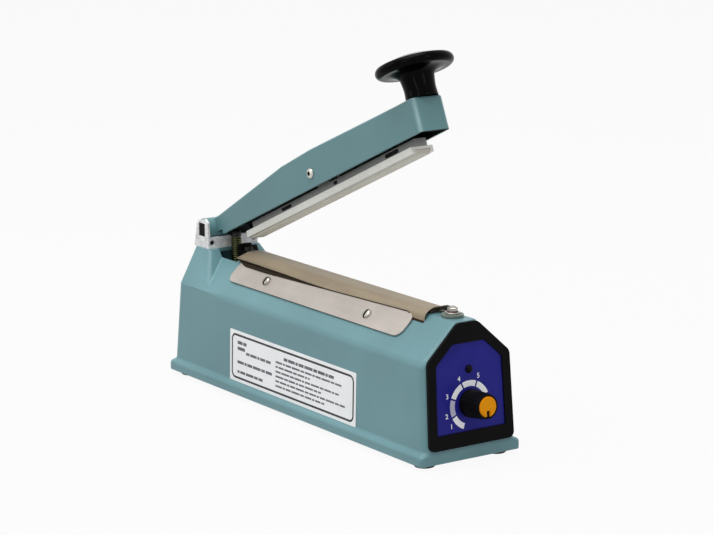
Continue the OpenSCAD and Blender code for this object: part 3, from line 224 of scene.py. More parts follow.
# %% Studio
def rgb(red, green, blue):
    """A colour as it looks on screen, 0 to 255, turned to the linear values of a shader."""
    def linear(part):
        part /= 255
        return part / 12.92 if part <= 0.04045 else ((part + 0.055) / 1.055) ** 2.4
    return (linear(red), linear(green), linear(blue), 1.0)


WHITE = (1.0, 1.0, 1.0, 1.0)
ambient_light = 0.41
floor_half = 7.0
floor_white = 0.93


def seen_rays(tree):
    """One for rays from the camera and for what gloss and glass show, and zero for light."""
    path = tree.nodes.new("ShaderNodeLightPath")
    camera, glossy, through = (
        Field(tree, path.outputs[name])
        for name in ("Is Camera Ray", "Is Glossy Ray", "Is Transmission Ray"))
    return camera.math("MAXIMUM", camera, glossy.math("MAXIMUM", glossy, through))


world = bpy.data.worlds.new("studio")
scene.world = world
world.use_nodes = True
sky = world.node_tree
seen = seen_rays(sky)
plug(sky, sky.nodes["Background"].inputs["Color"], WHITE)
plug(sky, sky.nodes["Background"].inputs["Strength"], seen * (1 - ambient_light) + ambient_light)

scene.view_settings.view_transform = "Standard"

floor_mesh = bpy.data.meshes.new("studio_floor")
corners = [(x * floor_half, y * floor_half, 0.0) for x, y in ((-1, -1), (1, -1), (1, 1), (-1, 1))]
floor_mesh.from_pydata(corners, [], [(0, 1, 2, 3)])
floor = bpy.data.objects.new("studio_floor", floor_mesh)
scene.collection.objects.link(floor)
matt, place = finish("pale_floor", roughness=0.9, specular_ior_level=0.1)
tree = matt.id_data
feed(matt, base_color=place.noise(3, 3).tint(rgb(186, 187, 188), rgb(194, 194, 194)))
glow = place.node("ShaderNodeEmission", {}, {"Color": WHITE, "Strength": 1.0})
mixed = place.node("ShaderNodeMixShader", {}, {
    0: seen_rays(tree) * floor_white, 1: Field(tree, matt.outputs[0]), 2: glow})
plug(tree, tree.nodes["Material Output"].inputs["Surface"], mixed)
floor_mesh.materials.append(looks["pale_floor"])


def soft_lamp(name, place, aim, wide, tall, watts):
    """A rectangular lamp at a place, aimed at a point."""
    light = bpy.data.lights.new(name, "AREA")
    light.shape = "RECTANGLE"
    light.size = wide
    light.size_y = tall
    light.energy = watts
    lamp = bpy.data.objects.new(name, light)
    scene.collection.objects.link(lamp)
    lamp.matrix_world = Matrix.Translation(place) @ (
        (Vector(aim) - Vector(place)).to_track_quat("-Z", "Y").to_matrix().to_4x4())


middle = (cad_low + cad_high) / 2
soft_lamp("overhead_lamp", (0.0, -0.35, 1.8), middle, 1.4, 1.4, 28)
soft_lamp("left_strip_lamp", (-0.85, -1.75, 0.85), middle, 0.28, 1.0, 4.1)
soft_lamp("front_strip_lamp", (0.96, -1.56, 0.84), middle, 0.16, 0.9, 2.5)
soft_lamp("right_strip_lamp", (1.95, 0.25, 0.8), middle, 0.28, 1.0, 3.1)
print("studio: floor", 2 * floor_half, "m wide and 4 lamps")

# %% [markdown]
# The housing and the arm are cast metal with a sprayed coat of blue-green enamel. Plain colour
# would look like plastic, so the coat drifts a little in tone, has the fine ripple that painters
# call orange peel and shines unevenly. On the arm the rounded edges get a painted highlight, a
# lighter tone where they would gleam: they are found by the lean of the surface, because flat
# sides and tops never lean.

# %% Teal enamel
MICRON = 1e-6
# The lighter tone of the painted highlight on rounded edges.
teal_highlight = rgb(176, 204, 205)


def enamel(name, dark, light, highlight_share):
    """A sprayed coat in two close tones, and how strong a painted highlight its rounded edges get.
    """
    shader, place = finish(name, specular_ior_level=0.32)
    drift = place.noise(14, 3)
    peel = place.noise(620, 2)
    grain = place.noise(2400, 1)
    patchy = place.noise(160, 4, 0.7).between(0.5, 0.72)
    side = place.node("ShaderNodeTexCoord", out=1).axis(1)
    lean = side.math("ABSOLUTE", side)
    # Rounded edges get a lighter tone, patchy so that it is not even: a painted highlight.
    edge = lean.between(0.3, 0.6) * lean.between(0.7, 0.95, 1.0, 0.0) * (patchy * 0.3 + 0.7)
    feed(shader,
         base_color=(edge * highlight_share).tint(drift.between(0.3, 0.7).tint(dark, light), teal_highlight),
         roughness=drift * 0.1 + 0.29 + patchy * 0.06,
         normal=(peel * 0.8 + grain * 0.2).bump(20 * MICRON, 0.3))


enamel("teal_enamel", rgb(101, 141, 147), rgb(110, 151, 157), 0.0)
# The arm's coat is a little darker than the housing's: partly its own tone, partly painted shade.
enamel("arm_enamel", rgb(92, 131, 135), rgb(100, 140, 144), 0.6)
print("finish: teal enamel for the housing and for the arm")

# %% [markdown]
# Black parts are moulded. The handle knob is polished, the bezel and the timer knob have a fine
# sparked texture, and the feet are dull rubber. One function with a few numbers makes all of
# them, because they only differ in tone, gloss and grain.

# %% Moulded plastics
def moulded(name, dark, light, gloss, grains, depth, smudge=0.1, reflection=0.5):
    """A plastic by its two tones, its gloss, its grains per metre and their depth in microns."""
    shader, place = finish(name, specular_ior_level=reflection)
    cloud = place.noise(35, 4)
    streaks = place.stretched((90, 260, 260)).noise(1, 5, 0.65)
    feed(shader,
         base_color=cloud.between(0.35, 0.65).tint(rgb(*dark), rgb(*light)),
         roughness=streaks.between(0.35, 0.75, gloss, gloss + smudge),
         normal=place.specks(grains).bump(depth * MICRON, 0.6))


plastics = {
    "polished_black": ((2, 2, 2), (4, 4, 4), 0.14, 1500, 3, 0.1, 0.04),
    "sparked_black": ((8, 8, 9), (12, 12, 14), 0.4, 2600, 30, 0.12, 0.05),
    "dull_rubber": ((16, 16, 16), (24, 24, 23), 0.68, 1400, 40, 0.15, 0.2),
    "orange_cap": ((236, 150, 2), (244, 160, 6), 0.36, 1800, 10, 0.12, 0.1),
    "blue_film": ((32, 32, 126), (38, 38, 138), 0.34, 3000, 12, 0.1, 0.12),
    "white_ink": ((246, 246, 252), (254, 254, 255), 0.45, 2600, 10),
    # Painted shade on one part of the dial's white ring.
    "ring_shade_grey": ((176, 176, 200), (196, 196, 216), 0.45, 2600, 10),
    "black_ink": ((14, 14, 18), (24, 24, 28), 0.45, 2600, 10),
    "faint_ink": ((76, 76, 84), (104, 104, 112), 0.5, 2600, 10),
    "label_film": ((244, 245, 247), (250, 251, 252), 0.4, 2200, 10, 0.12),
    "silicone_rubber": ((214, 210, 198), (226, 222, 210), 0.55, 1200, 30, 0.15),
    "dark_lens": ((8, 8, 14), (14, 12, 20), 0.16, 900, 4, 0.08, 0.06),
    "pale_insulator": ((92, 104, 97), (110, 120, 111), 0.5, 1500, 20, 0.15),
    # Painted shade for the arm's hollow, its undersides and the front of its hub.
    "arm_painted_shade": ((16, 20, 21), (24, 29, 30), 0.6, 800, 50, 0.15, 0.1),
    "slot_shade": ((14, 14, 14), (24, 24, 24), 0.6, 900, 20, 0.1, 0.1),
    "fibre_strip": ((52, 46, 42), (66, 58, 52), 0.7, 900, 50, 0.15),
    "phenolic_brown": ((74, 44, 28), (92, 56, 36), 0.4, 900, 20),
    "nylon_white": ((206, 204, 192), (222, 220, 208), 0.45, 900, 20),
    "lead_red": ((150, 26, 22), (172, 34, 28), 0.4, 700, 20),
    "relay_blue": ((28, 60, 140), (36, 70, 156), 0.35, 900, 10),
    "board_green": ((22, 70, 40), (30, 86, 50), 0.35, 700, 20),
    # Painted shade for the front of the pillar.
    "painted_pillar_shade": ((18, 17, 15), (28, 26, 23), 0.7, 700, 40, 0.15, 0.05),
}
for look, values in plastics.items():
    moulded(look, *values)
print("finishes:", len(plastics), "plastics, inks and rubbers")

# %% [markdown]
# Bare metal shows how it was worked: drawn plate and rails have long fine lines, plated screws
# have a soft satin, and the plating of the hinge yoke is mottled. Anisotropic shading could fake
# the lines, but noise that is stretched along the grain also gives them depth, and can be baked.

# %% Metals
metal_smudge = 0.12


def metal(name, dark, light, gloss, grain, depth, bare=1.0, clouds=45):
    """A metal: its grain has a fineness along X, Y and Z, per metre, and a depth in microns."""
    shader, place = finish(name, metallic=bare)
    cloud = place.noise(clouds, 4, 0.6)
    lines = place.stretched(grain).noise(1, 3, 0.6)
    feed(shader,
         base_color=(cloud * 0.6 + lines * 0.4).between(0.35, 0.65).tint(rgb(*dark), rgb(*light)),
         roughness=(cloud * 0.5 + lines * 0.5).between(0.3, 0.7, gloss, gloss + metal_smudge),
         normal=lines.bump(depth * MICRON, 0.5))


metals = {
    "bright_zinc": ((190, 191, 192), (248, 248, 248), 0.3, (260, 260, 500), 4, 0.12, 150),
    "drawn_plate": ((174, 167, 160), (190, 183, 176), 0.4, (14, 1700, 1700), 12),
    "drawn_rail": ((204, 204, 198), (222, 222, 216), 0.34, (10, 2000, 2000), 10, 0.45),
    "satin_zinc": ((186, 184, 176), (212, 210, 202), 0.24, (900, 900, 900), 6),
    "holder_steel": ((128, 130, 128), (150, 152, 150), 0.42, (30, 800, 800), 10, 0.5),
    "screw_steel": ((150, 147, 140), (180, 177, 169), 0.3, (900, 900, 900), 6),
    # Blackened steel, whose near-black also paints the shade on the push rod, rear terminal bolt
    # and yoke screws.
    "black_steel_and_shade": ((16, 17, 17), (26, 27, 27), 0.45, (700, 700, 700), 8, 0.3),
    "copper_dull": ((96, 74, 70), (118, 92, 86), 0.4, (700, 700, 700), 8),
    "core_sheets": ((84, 84, 86), (104, 104, 106), 0.5, (20, 2000, 20), 40),
    "brass_bright": ((186, 150, 84), (204, 170, 100), 0.28, (700, 700, 700), 6),
    "alloy_wire": ((120, 116, 110), (146, 142, 134), 0.36, (20, 900, 900), 6),
    "lacquered_winding": ((150, 92, 44), (176, 112, 58), 0.32, (40, 40, 1800), 100),
    "olive_spring": ((92, 96, 66), (118, 120, 86), 0.34, (700, 700, 700), 10),
}
for look, values in metals.items():
    metal(look, *values)
print("finishes:", len(metals), "metals")

# %% [markdown]
# The release cloth is glass fabric with a slippery brown coating. Its weave is about half a
# millimetre, too fine for geometry, so two crossed sine waves give the threads their bump and
# their slight change of tone, and soft stains show where bags were sealed.

# %% Release cloth
thread = 0.55 * MM


def woven(name, dark, light, worn, shine):
    """A coated fabric in two tones, with lighter threads and some shine."""
    shader, place = finish(name, sheen_weight=shine / 4, specular_ior_level=shine)
    turn = 2 * math.pi / thread
    warp = place.math("SINE", place.axis(0) * turn) * 0.5 + 0.5
    weft = place.math("SINE", place.axis(1) * turn) * 0.5 + 0.5
    weave = warp * weft + (1 - warp) * (1 - weft)
    stain = place.stretched((22, 130, 130)).noise(1, 5, 0.65)
    fabric = stain.between(0.32, 0.7).tint(dark, light)
    feed(shader,
         base_color=(weave * 0.35).tint(fabric, worn),
         roughness=stain.between(0.3, 0.7, 0.42, 0.58),
         normal=weave.bump(60 * MICRON, 0.6))


woven("release_fabric", rgb(124, 109, 86), rgb(154, 139, 115), rgb(170, 156, 132), 0.4)
# A darker tone of the cloth for the flap under the lip, which is painted shade.
woven("flap_cloth_shade", rgb(36, 30, 21), rgb(50, 42, 30), rgb(60, 51, 38), 0.04)
print("finish: release cloth with threads", round(thread / MM, 2), "mm apart")

# %% [markdown]
# A CAD solid has knife edges, and real castings and pressings never do: a rounded edge catches
# the light. A bevel modifier on the solid would fail on its split triangles, so the solid is
# copied, its triangles are joined to flat faces, and each edge gets its own share of one bevel.

# %% Pieces and rounded copies
WELD = 2e-6
FLAT_ANGLE = math.radians(0.6)
SHARP_ANGLE = math.radians(24)


def piece(name, bm, look, body, smooth=None):
    """A new object from a bmesh, which rides on a body and carries its finish."""
    mesh = bpy.data.meshes.new(name)
    bm.to_mesh(mesh)
    bm.free()
    mesh.materials.append(looks[look])
    mesh.shade_smooth()
    if smooth is not None:
        mesh.set_sharp_from_angle(angle=math.radians(smooth))
    made = bpy.data.objects.new(name, mesh)
    scene.collection.objects.link(made)
    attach(made, body)
    return made


def flat_faced(node):
    """A solid's surface with its triangles joined to flat faces."""
    bm = bmesh.new()
    bm.from_mesh(nodes[node].data)
    bmesh.ops.remove_doubles(bm, verts=bm.verts, dist=WELD)
    bmesh.ops.dissolve_limit(
        bm, angle_limit=FLAT_ANGLE, use_dissolve_boundaries=False, verts=bm.verts, edges=bm.edges)
    return bm


def rounded(bm, width, share=None):
    """Gives each sharp edge its share of a bevel, and marks the rest as sharp."""
    weight = bm.edges.layers.float.new("bevel_weight_edge")
    bm.normal_update()
    for edge in bm.edges:
        if len(edge.link_faces) == 2 and edge.calc_face_angle(0) > SHARP_ANGLE:
            edge[weight] = 1.0 if share is None else min(1.0, share(edge) / width)
            edge.smooth = edge[weight] > 0


def softened(node, look, width, segments=3, share=None, bm=None, clamp=True):
    """A copy of a solid, or a shape made for its place, with rounded edges. It stands for it."""
    if bm is None:
        bm = flat_faced(node)
    rounded(bm, width, share)
    made = piece(f"{node}_dressed", bm, look, nodes[node]["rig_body"])
    bevel = made.modifiers.new("rounding", "BEVEL")
    bevel.limit_method = "WEIGHT"
    bevel.width = width
    bevel.segments = segments
    bevel.use_clamp_overlap = clamp
    bevel.miter_outer = "MITER_ARC"
    even = made.modifiers.new("even_normals", "WEIGHTED_NORMAL")
    even.keep_sharp = True
    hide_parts(node)
    return made


def darken(made, look, test):
    """Gives the faces that pass a test a second, dark finish, which paints their shade."""
    made.data.materials.append(looks[look])
    for face in made.data.polygons:
        face.material_index = int(test(face))


print("pieces: weld", WELD, "m, sharp above", round(math.degrees(SHARP_ANGLE)), "degrees")

# %% [markdown]
# The housing is one casting: upright walls on a small rim, two roof slopes that meet in the
# sealing ridge, and the pillar of the hinge. Its creases are rounded by about three millimetres
# and its ridge and rim by about one, so each edge takes its rounding from its height. Towards the
# pillar the rounding of the creases fades out.

# %% Housing
def mm(*sizes):
    """Sizes in millimetres, turned to metres."""
    return [size * MM for size in sizes]


rim_z, wall_z, crease_z, ridge_z, pillar_z = mm(9.0, 10.8, 65.0, 88.3, 89.5)
crease_round, ridge_round, rim_round, foot_round = mm(3.2, 1.0, 1.4, 0.5)
valley_round, slot_round, hole_round = mm(1.4, 0.7, 0.25)
near = 0.5 * MM
hole_edge, ridge_rim = mm(1.2, 5.5)
pillar_foot, crease_fade, fade_steps, crease_least = -118.3 * MM, 36.0 * MM, 8, 0.04
fade_low, fade_high = math.radians(24), math.radians(42)


def eased(value, low, high):
    """Rises smoothly from 0 at the low value to 1 at the high one."""
    t = min(1.0, max(0.0, (value - low) / (high - low)))
    return t * t * (3 - 2 * t)


def level(edge):
    return (edge.verts[0].co.z + edge.verts[1].co.z) / 2


def outside_of(bm):
    """A test whether an edge shows: its way out is clear and not through the open underside."""
    tree = BVHTree.FromBMesh(bm)
    start_off = 0.2 * MM

    def clear(edge):
        out = sum((face.normal for face in edge.link_faces), Vector()).normalized()
        start = (edge.verts[0].co + edge.verts[1].co) / 2 + out * start_off
        if out.z < -0.2 and start.z > rim_z:
            return False
        return tree.ray_cast(start, out)[0] is None
    return clear


def housing_rounding(bm):
    clear = outside_of(bm)

    def share(edge):
        if not clear(edge):
            return 0.0
        return edge_round(edge) * eased(edge.calc_face_angle(0), fade_low, fade_high)

    def edge_round(edge):
        middle_z, long = level(edge), edge.calc_length() > hole_edge
        off_middle = all(abs(vert.co.y) > ridge_rim for vert in edge.verts)
        if abs(middle_z - crease_z) < near:
            middle_x = (edge.verts[0].co.x + edge.verts[1].co.x) / 2
            faded = eased(middle_x, pillar_foot, pillar_foot + crease_fade)
            return crease_round * (crease_least + (1 - crease_least) * faded)
        if abs(middle_z - rim_z) < near or abs(middle_z - wall_z) < near:
            return rim_round
        if middle_z < rim_z:
            return foot_round
        if abs(middle_z - ridge_z) < near and off_middle:
            return ridge_round
        if abs(middle_z - pillar_z) < near:
            return hole_round
        if not edge.is_convex and long:
            return valley_round
        return slot_round if long else hole_round
    return share


def split_creases(bm):
    """Cuts the long crease edges near the pillar, where their rounding fades out step by step."""
    for step in range(fade_steps, 0, -1):
        cut = pillar_foot + crease_fade * step / fade_steps
        for edge in bm.edges[:]:
            a, b = edge.verts
            left, right = sorted((a.co.x, b.co.x))
            if abs(level(edge) - crease_z) < near and left < cut - near and right > cut + near:
                if edge.calc_length() > hole_edge:
                    bmesh.utils.edge_split(edge, a, (cut - a.co.x) / (b.co.x - a.co.x))


bm = flat_faced("housing")
split_creases(bm)
bm.normal_update()
housing = softened("housing", "teal_enamel", crease_round, 4,
                   housing_rounding(bm), bm, clamp=False)
housing_low, housing_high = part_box("housing")
base_mid = (housing_low.x + housing_high.x) / 2
print("housing:", len(housing.data.polygons), "faces before rounding")

# %% [markdown]
# The arm is a thin casting, open below, with the hub of the hinge at one end and a flat seat for
# the handle knob at the other. Its top edges are rounded and its lower rim is nearly sharp. Its
# hollow, its undersides along the bar and the front of the spring's well in its hub get a
# near-black finish, which is painted shade; the well is shaded more on the far side than on the
# near.

# %% Arm
arm_round, arm_rim = mm(1.2, 0.4)
arm_turn = Matrix.Rotation(math.radians(23.9), 3, "Y")
arm_back = arm_turn.inverted()
arm_line = arm_back @ Vector((1, 0, 0))
pivot = Vector(joints["arm_hinge"]["pos_m"])
arm_in, hub_reach, hollow_start, hollow_end = mm(10.0, 9.0, 12.0, 260.0)
# The painted shade on the front of the hub reaches a little to the near side and far to the far
# side.
hub_shade_near, hub_shade_far = mm(-3.0, 16.0)
hub_end, side_low, side_high, upper_edge, lower_edge = mm(3.5, 7.0, 12.5, 4.0, -7.0)
steep, end_wall, touching = 0.5, 0.7, 0.05 * MM


def along_arm(point):
    """A point as seen from the hinge pin: along the arm, across it and above it."""
    return arm_turn @ (point - pivot)


def arm_rounding(edge):
    """The rounding of the arm's outer edges, which is smaller on its lower rim."""
    a, b = (along_arm(vert.co) for vert in edge.verts)
    reach = max(abs(a.y), abs(b.y))
    if not edge.is_convex or min(a.x, b.x) < hub_end or not side_low < reach < side_high:
        return 0.0
    if min(a.z, b.z) > upper_edge:
        return arm_round
    inner = all(abs(abs(end.y) - arm_in) < touching for end in (a, b))
    return 0.0 if inner or max(a.z, b.z) > lower_edge else arm_rim


def inside_arm(face):
    """Whether a face gets the painted shade: it looks down or into the arm's hollow, or into the
    spring's well in its hub.
    """
    middle = along_arm(face.center)
    normal = arm_turn @ face.normal
    below = normal.z < -steep and middle.x > hub_reach
    if 0 < middle.x < hollow_start:
        return normal.x > steep and hub_shade_near < middle.y < hub_shade_far or below
    if abs(normal.z) > steep or middle.x > hollow_end + near:
        painted_rim = abs(middle.y) > arm_in and middle.x < hollow_end
        return below and not painted_rim
    return abs(middle.y) < arm_in + near and middle.x > hollow_start and (
        normal.y * middle.y < -1e-6 or abs(normal.x) > end_wall)


def in_hub(face):
    return along_arm(face.calc_center_median()).x < hollow_start


def looks_down(face):
    return (arm_turn @ face.normal).z < -steep


def cut_faces(bm, test, spot, across):
    """Cuts the faces that pass a test along a plane, so that each part can have its own finish."""
    bm.normal_update()
    chosen = [face for face in bm.faces if test(face)]
    around = dict.fromkeys(part for face in chosen for part in (*face.verts, *face.edges))
    bmesh.ops.bisect_plane(
        bm, geom=chosen + list(around), dist=WELD, plane_co=spot, plane_no=across)


bm = flat_faced("arm_shell")
for test, sides in ((in_hub, (hub_shade_near, hub_shade_far)), (looks_down, (-arm_in, arm_in))):
    for side_y in sides:
        cut_faces(bm, test, (0, side_y, 0), (0, 1, 0))
cut_faces(bm, looks_down, pivot + arm_line * hollow_end, arm_line)
arm = softened("arm_shell", "arm_enamel", arm_round, 4, arm_rounding, bm, clamp=False)
# Faces in the hollow and below it get painted shade.
darken(arm, "arm_painted_shade", inside_arm)
print("arm:", len(arm.data.polygons), "faces before rounding")

# %% [markdown]
# The handle knob is turned on a lathe, like a mushroom with a thin rim. Its outline is a few arcs,
# which are smoothed and spun with many steps, because the rim's gleam shows every facet.

# %% Handle knob
def shape(parts, closed=True, capped=True, weld=False):
    """A mesh of parts, each of rows of points that are joined by faces and capped at both ends."""
    bm = bmesh.new()
    for rows in parts:
        rings = [[bm.verts.new(point) for point in row] for row in rows]
        count = len(rings[0])
        for low, high in zip(rings, rings[1:]):
            for i in range(count if closed else count - 1):
                j = (i + 1) % count
                bm.faces.new((low[i], low[j], high[j], high[i]))
        if capped:
            bm.faces.new(rings[0])
            bm.faces.new(rings[-1])
    if weld:
        bmesh.ops.remove_doubles(bm, verts=bm.verts, dist=WELD)
    bmesh.ops.recalc_face_normals(bm, faces=bm.faces)
    return bm


def arc(degrees):
    """The sine and cosine of each angle in turn."""
    return [(math.sin(math.radians(d)), math.cos(math.radians(d))) for d in degrees]


def circle(steps):
    return arc(360 * k / steps for k in range(steps))


def lathe(outline, turn, steps):
    """Spins an outline of (height, radius) pairs about Z and places it with a matrix."""
    return shape([[[turn @ Vector((radius * c, radius * s, height)) for s, c in circle(steps)]
                   for height, radius in outline]], capped=False, weld=True)


def smoothed(points, steps):
    """More points on a smooth curve through the given ones."""
    curve = []
    for i in range(len(points) - 1):
        a, b = points[max(i - 1, 0)], points[i]
        c, d = points[i + 1], points[min(i + 2, len(points) - 1)]
        for k in range(steps):
            t = k / steps
            curve.append(tuple(
                0.5 * (2 * q + (r - p) * t + (2 * p - 5 * q + 4 * r - s) * t * t
                       + (3 * q - p - 3 * r + s) * t ** 3)
                for p, q, r, s in zip(a, b, c, d)))
    return curve + [points[-1]]


grip_along, grip_up, grip_stem, grip_reach, grip_height = mm(256, 14.7, 10.3, 24.9, 27.9)
rim_thick, neck_up, neck_flare, crown_rise = mm(3.3, 12.0, 9.2, 4.2)
stem_edge, stem_waist = mm(0.4, 0.3)
rim_up, rim_in = grip_height - rim_thick - crown_rise, grip_reach - rim_thick
flare_rise = rim_up - rim_thick - neck_up
stem = [(0.0, grip_stem - stem_edge), (stem_edge, grip_stem), (neck_up / 2, grip_stem - stem_waist)]
flare = [(neck_up + flare_rise * s, grip_stem + stem_edge + neck_flare * (1 - c))
         for s, c in arc((0, 18, 36, 54, 72, 90))]
brim = [(rim_up + rim_thick * s, rim_in + rim_thick * c) for s, c in arc(range(-90, 71, 20))]
crown = [(rim_up + rim_thick + crown_rise * math.sin(math.pi / 2 * t), rim_in * (1 - t))
         for t in (0.2, 0.4, 0.6, 0.8, 1.0)]
grip_turn = (Matrix.Translation(pivot) @ arm_back.to_4x4()
             @ Matrix.Translation((grip_along, 0, grip_up)))
grip_outline = [(0.0, 0.0)] + smoothed(stem + flare + brim + crown, 4)
knob = piece("handle_knob_dressed", lathe(grip_outline, grip_turn, 96), "polished_black", "arm",
             smooth=50)
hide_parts("handle_knob")
print("handle knob:", len(grip_outline), "points on its outline")

# %% [markdown]
# The front panel sits in a black moulded bezel whose lower corners are round. Its corners are
# rounded first, seen square on, and then its front rim gets a small bevel of its own.

# %% Bezel
dial_centre = Vector(joints["timer_turn"]["pos_m"])
dial_out = -Vector(joints["timer_turn"]["axis"]).normalized()
dial_right = Vector((0, 1, 0))
dial_up = dial_out.cross(dial_right)
bezel_low_corner, bezel_corner, window_corner = mm(4.0, 2.2, 1.2)
bezel_rim, low_band = mm(0.6, 3.0)


def bezel_shape():
    bm = flat_faced("panel_bezel")
    standing = [e for e in bm.edges
                if abs((e.verts[0].co - e.verts[1].co).normalized().dot(dial_out)) > 0.99]
    lowest = min(e.verts[0].co.z for e in standing)
    reach = max(abs(e.verts[0].co.y) for e in standing)

    def corner_radius(edge):
        if edge.verts[0].co.z - lowest < low_band:
            return bezel_low_corner
        return bezel_corner if edge.is_convex else window_corner
    bm.normal_update()
    groups = {}
    for edge in standing:
        groups.setdefault(corner_radius(edge), []).append(edge)
    for radius, edges in groups.items():
        bmesh.ops.bevel(bm, geom=[e for e in edges if e.is_valid], offset=radius, segments=6,
                        profile=0.5, affect="EDGES", clamp_overlap=True)
    return bm, reach


bm, bezel_reach = bezel_shape()
front = max(v.co.dot(dial_out) for v in bm.verts)
softened("panel_bezel", "sparked_black", bezel_rim, 3, lambda edge: bezel_rim if all(
    front - v.co.dot(dial_out) < touching for v in edge.verts) else 0.0, bm)
print("bezel:", round(2 * bezel_reach / MM, 1), "mm wide")

# %% [markdown]
# The dial is printed on the blue film: a white ring in pieces, and the numbers one to five. One
# part of the ring is made grey as painted shade. An image texture could carry the print, but thin
# shapes on the film stay sharp at any size.

# %% Dial print
ring_low, ring_high = mm(11.7, 15.3)
print_drop = 1.2 * MM
number_ring, number_size, number_weight = mm(18.6, 4.3, 0.05)
first_angle, step_angle, ring_gap, ring_steps = 200.0, 45.7, 4.8, 12
number_angles = (232.0, 255.0, 293.5, 336.0, 382.5)
film_top, ink = mm(1.05, 0.04)


def on_dial(angle, radius, lift=film_top):
    """A point of the panel by its clock angle in degrees, as seen from the front."""
    a = math.radians(angle)
    across = math.sin(a) * dial_right + math.cos(a) * dial_up
    return dial_centre + dial_out * lift + radius * across


def on_print(angle, radius, lift=film_top):
    """The same on the printed scale, which sits a little low behind the knob."""
    return on_dial(angle, radius, lift) - dial_up * print_drop


def strip(low_edge, high_edge, lift):
    """The rows of a thin raised strip between two lines of points."""
    return [[a, b, b + lift, a + lift] for a, b in zip(low_edge, high_edge)]


def ring_part(part):
    start = first_angle + part * step_angle + ring_gap / 2
    angles = [start + (step_angle - ring_gap) * k / ring_steps for k in range(ring_steps + 1)]
    edges = [[on_print(a, radius) for a in angles] for radius in (ring_low, ring_high)]
    return strip(*edges, dial_out * ink)


def printed(name, bm, look):
    """A piece of print on the base."""
    piece(name, bm, look, "base", smooth=30)


printed("dial_ring", shape(ring_part(part) for part in (0, 2, 3, 4)), "white_ink")
# This part of the white ring is grey: painted shade.
printed("dial_ring_shaded", shape([ring_part(1)]), "ring_shade_grey")


def numerals():
    bm = bmesh.new()
    turn = Matrix((dial_right, dial_up, dial_out)).transposed().to_4x4()
    for number, angle in enumerate(number_angles, 1):
        text = bpy.data.curves.new("numeral", "FONT")
        text.body = str(number)
        text.size = number_size
        text.align_x = "CENTER"
        text.align_y = "CENTER"
        text.extrude = ink / 2
        text.offset = number_weight
        holder = bpy.data.objects.new("numeral", text)
        scene.collection.objects.link(holder)
        shown = holder.evaluated_get(bpy.context.evaluated_depsgraph_get())
        mesh = bpy.data.meshes.new_from_object(shown)
        spot = on_print(angle, number_ring, film_top + ink / 2)
        mesh.transform(Matrix.Translation(spot) @ turn)
        bm.from_mesh(mesh)
        bpy.data.objects.remove(holder)
        bpy.data.meshes.remove(mesh)
        bpy.data.curves.remove(text)
    return bm


printed("dial_numerals", numerals(), "white_ink")
print("dial: a ring in five parts and", len(number_angles), "numerals")

# %% [markdown]
# The timer knob is a black cylinder with an orange cap. Fingers need a grip, so its side has fine
# ribs. They are a separate piece on the solid knob, which keeps its slot for the pointer.

# %% Timer knob
knob_edge, cap_edge = mm(0.5, 0.35)
softened("timer_knob", "sparked_black", knob_edge, 3,
         lambda edge: knob_edge if edge.is_convex else 0.0)
rib_count, rib_wide, rib_high, rib_sunk, rib_in = 30, 0.9 * MM, 0.28 * MM, 0.05 * MM, 0.9 * MM
knob_out, knob_back, knob_r = mm(19.0, 1.5, 8.75)
rib_start, rib_end = knob_back + rib_in, knob_out - rib_in
knob_taper = 1.1 * MM / (knob_out - knob_back)
pointer_half, pointer_deep = mm(1.4, 0.2)


def rib(number):
    """The rows of one rib, which has a round back and runs out at both ends."""
    turn = 360 * (number + 0.5) / rib_count
    rows = []
    for share, full in ((0.0, 0), (0.06, 1), (0.5, 1), (0.94, 1), (1.0, 0)):
        out = rib_start + (rib_end - rib_start) * share
        radius = knob_r - (out - knob_back) * knob_taper
        half = math.degrees(rib_wide / 2 / radius)
        rows.append([on_dial(turn + half * side, radius + rib_high * full * lift - rib_sunk, out)
                     for side, lift in ((-1, 0), (-0.55, 0.8), (0, 1), (0.55, 0.8), (1, 0))])
    return rows


piece("timer_knob_ribs", shape(rib(k) for k in range(rib_count)), "sparked_black", "timer",
      smooth=60)
cap = softened("knob_cap", "orange_cap", cap_edge, 3,
               lambda edge: cap_edge if edge.is_convex else 0.0)


def in_pointer(face):
    """Whether a face of the cap lies in the pointer's groove."""
    seen = face.center - dial_centre
    return (abs(seen.dot(dial_right)) < pointer_half and seen.dot(dial_up) < 0
            and seen.dot(dial_out) < knob_out - pointer_deep)


darken(cap, "slot_shade", in_pointer)
print("timer knob:", rib_count, "ribs")

# %% [markdown]
# A printed plate on the near wall has a thin black frame. Inside it are rows of plain bars of
# different lengths, which are thin shapes like the print of the dial.

# %% Side label
label_low, label_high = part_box("side_label")
label_face = max(nodes["side_label"].data.polygons, key=lambda f: f.area * (f.normal.y < 0))
label_out = Vector(label_face.normal)
label_right = Vector((1, 0, 0))
label_up = label_out.cross(label_right)
label_thick = 0.3 * MM
label_w = label_high.x - label_low.x
label_h = (label_high.z - label_low.z - label_thick * abs(label_out.z)) / label_up.z
label_point = nodes["side_label"].data.vertices[label_face.vertices[0]].co
label_centre = Vector(((label_low.x + label_high.x) / 2, label_point.y, label_point.z))
label_centre += label_up * (((label_low.z + label_high.z) / 2 - label_centre.z) / label_up.z)
label_corner, label_edge = mm(1.0, 0.1)
frame_in, frame_wide, frame_r = mm(2.2, 1.4, 4.5)


def on_label(right, up, lift=0.0):
    return label_centre + label_right * right + label_up * up + label_out * lift


def round_corners(w, h, r, steps=8):
    """Points round a rectangle with round corners, about its middle."""
    points = []
    for sx, sy, start in ((1, 1, 0), (-1, 1, 90), (-1, -1, 180), (1, -1, 270)):
        points += [(sx * (w / 2 - r) + r * c, sy * (h / 2 - r) + r * s)
                   for s, c in arc(start + 90 * k / steps for k in range(steps + 1))]
    return points


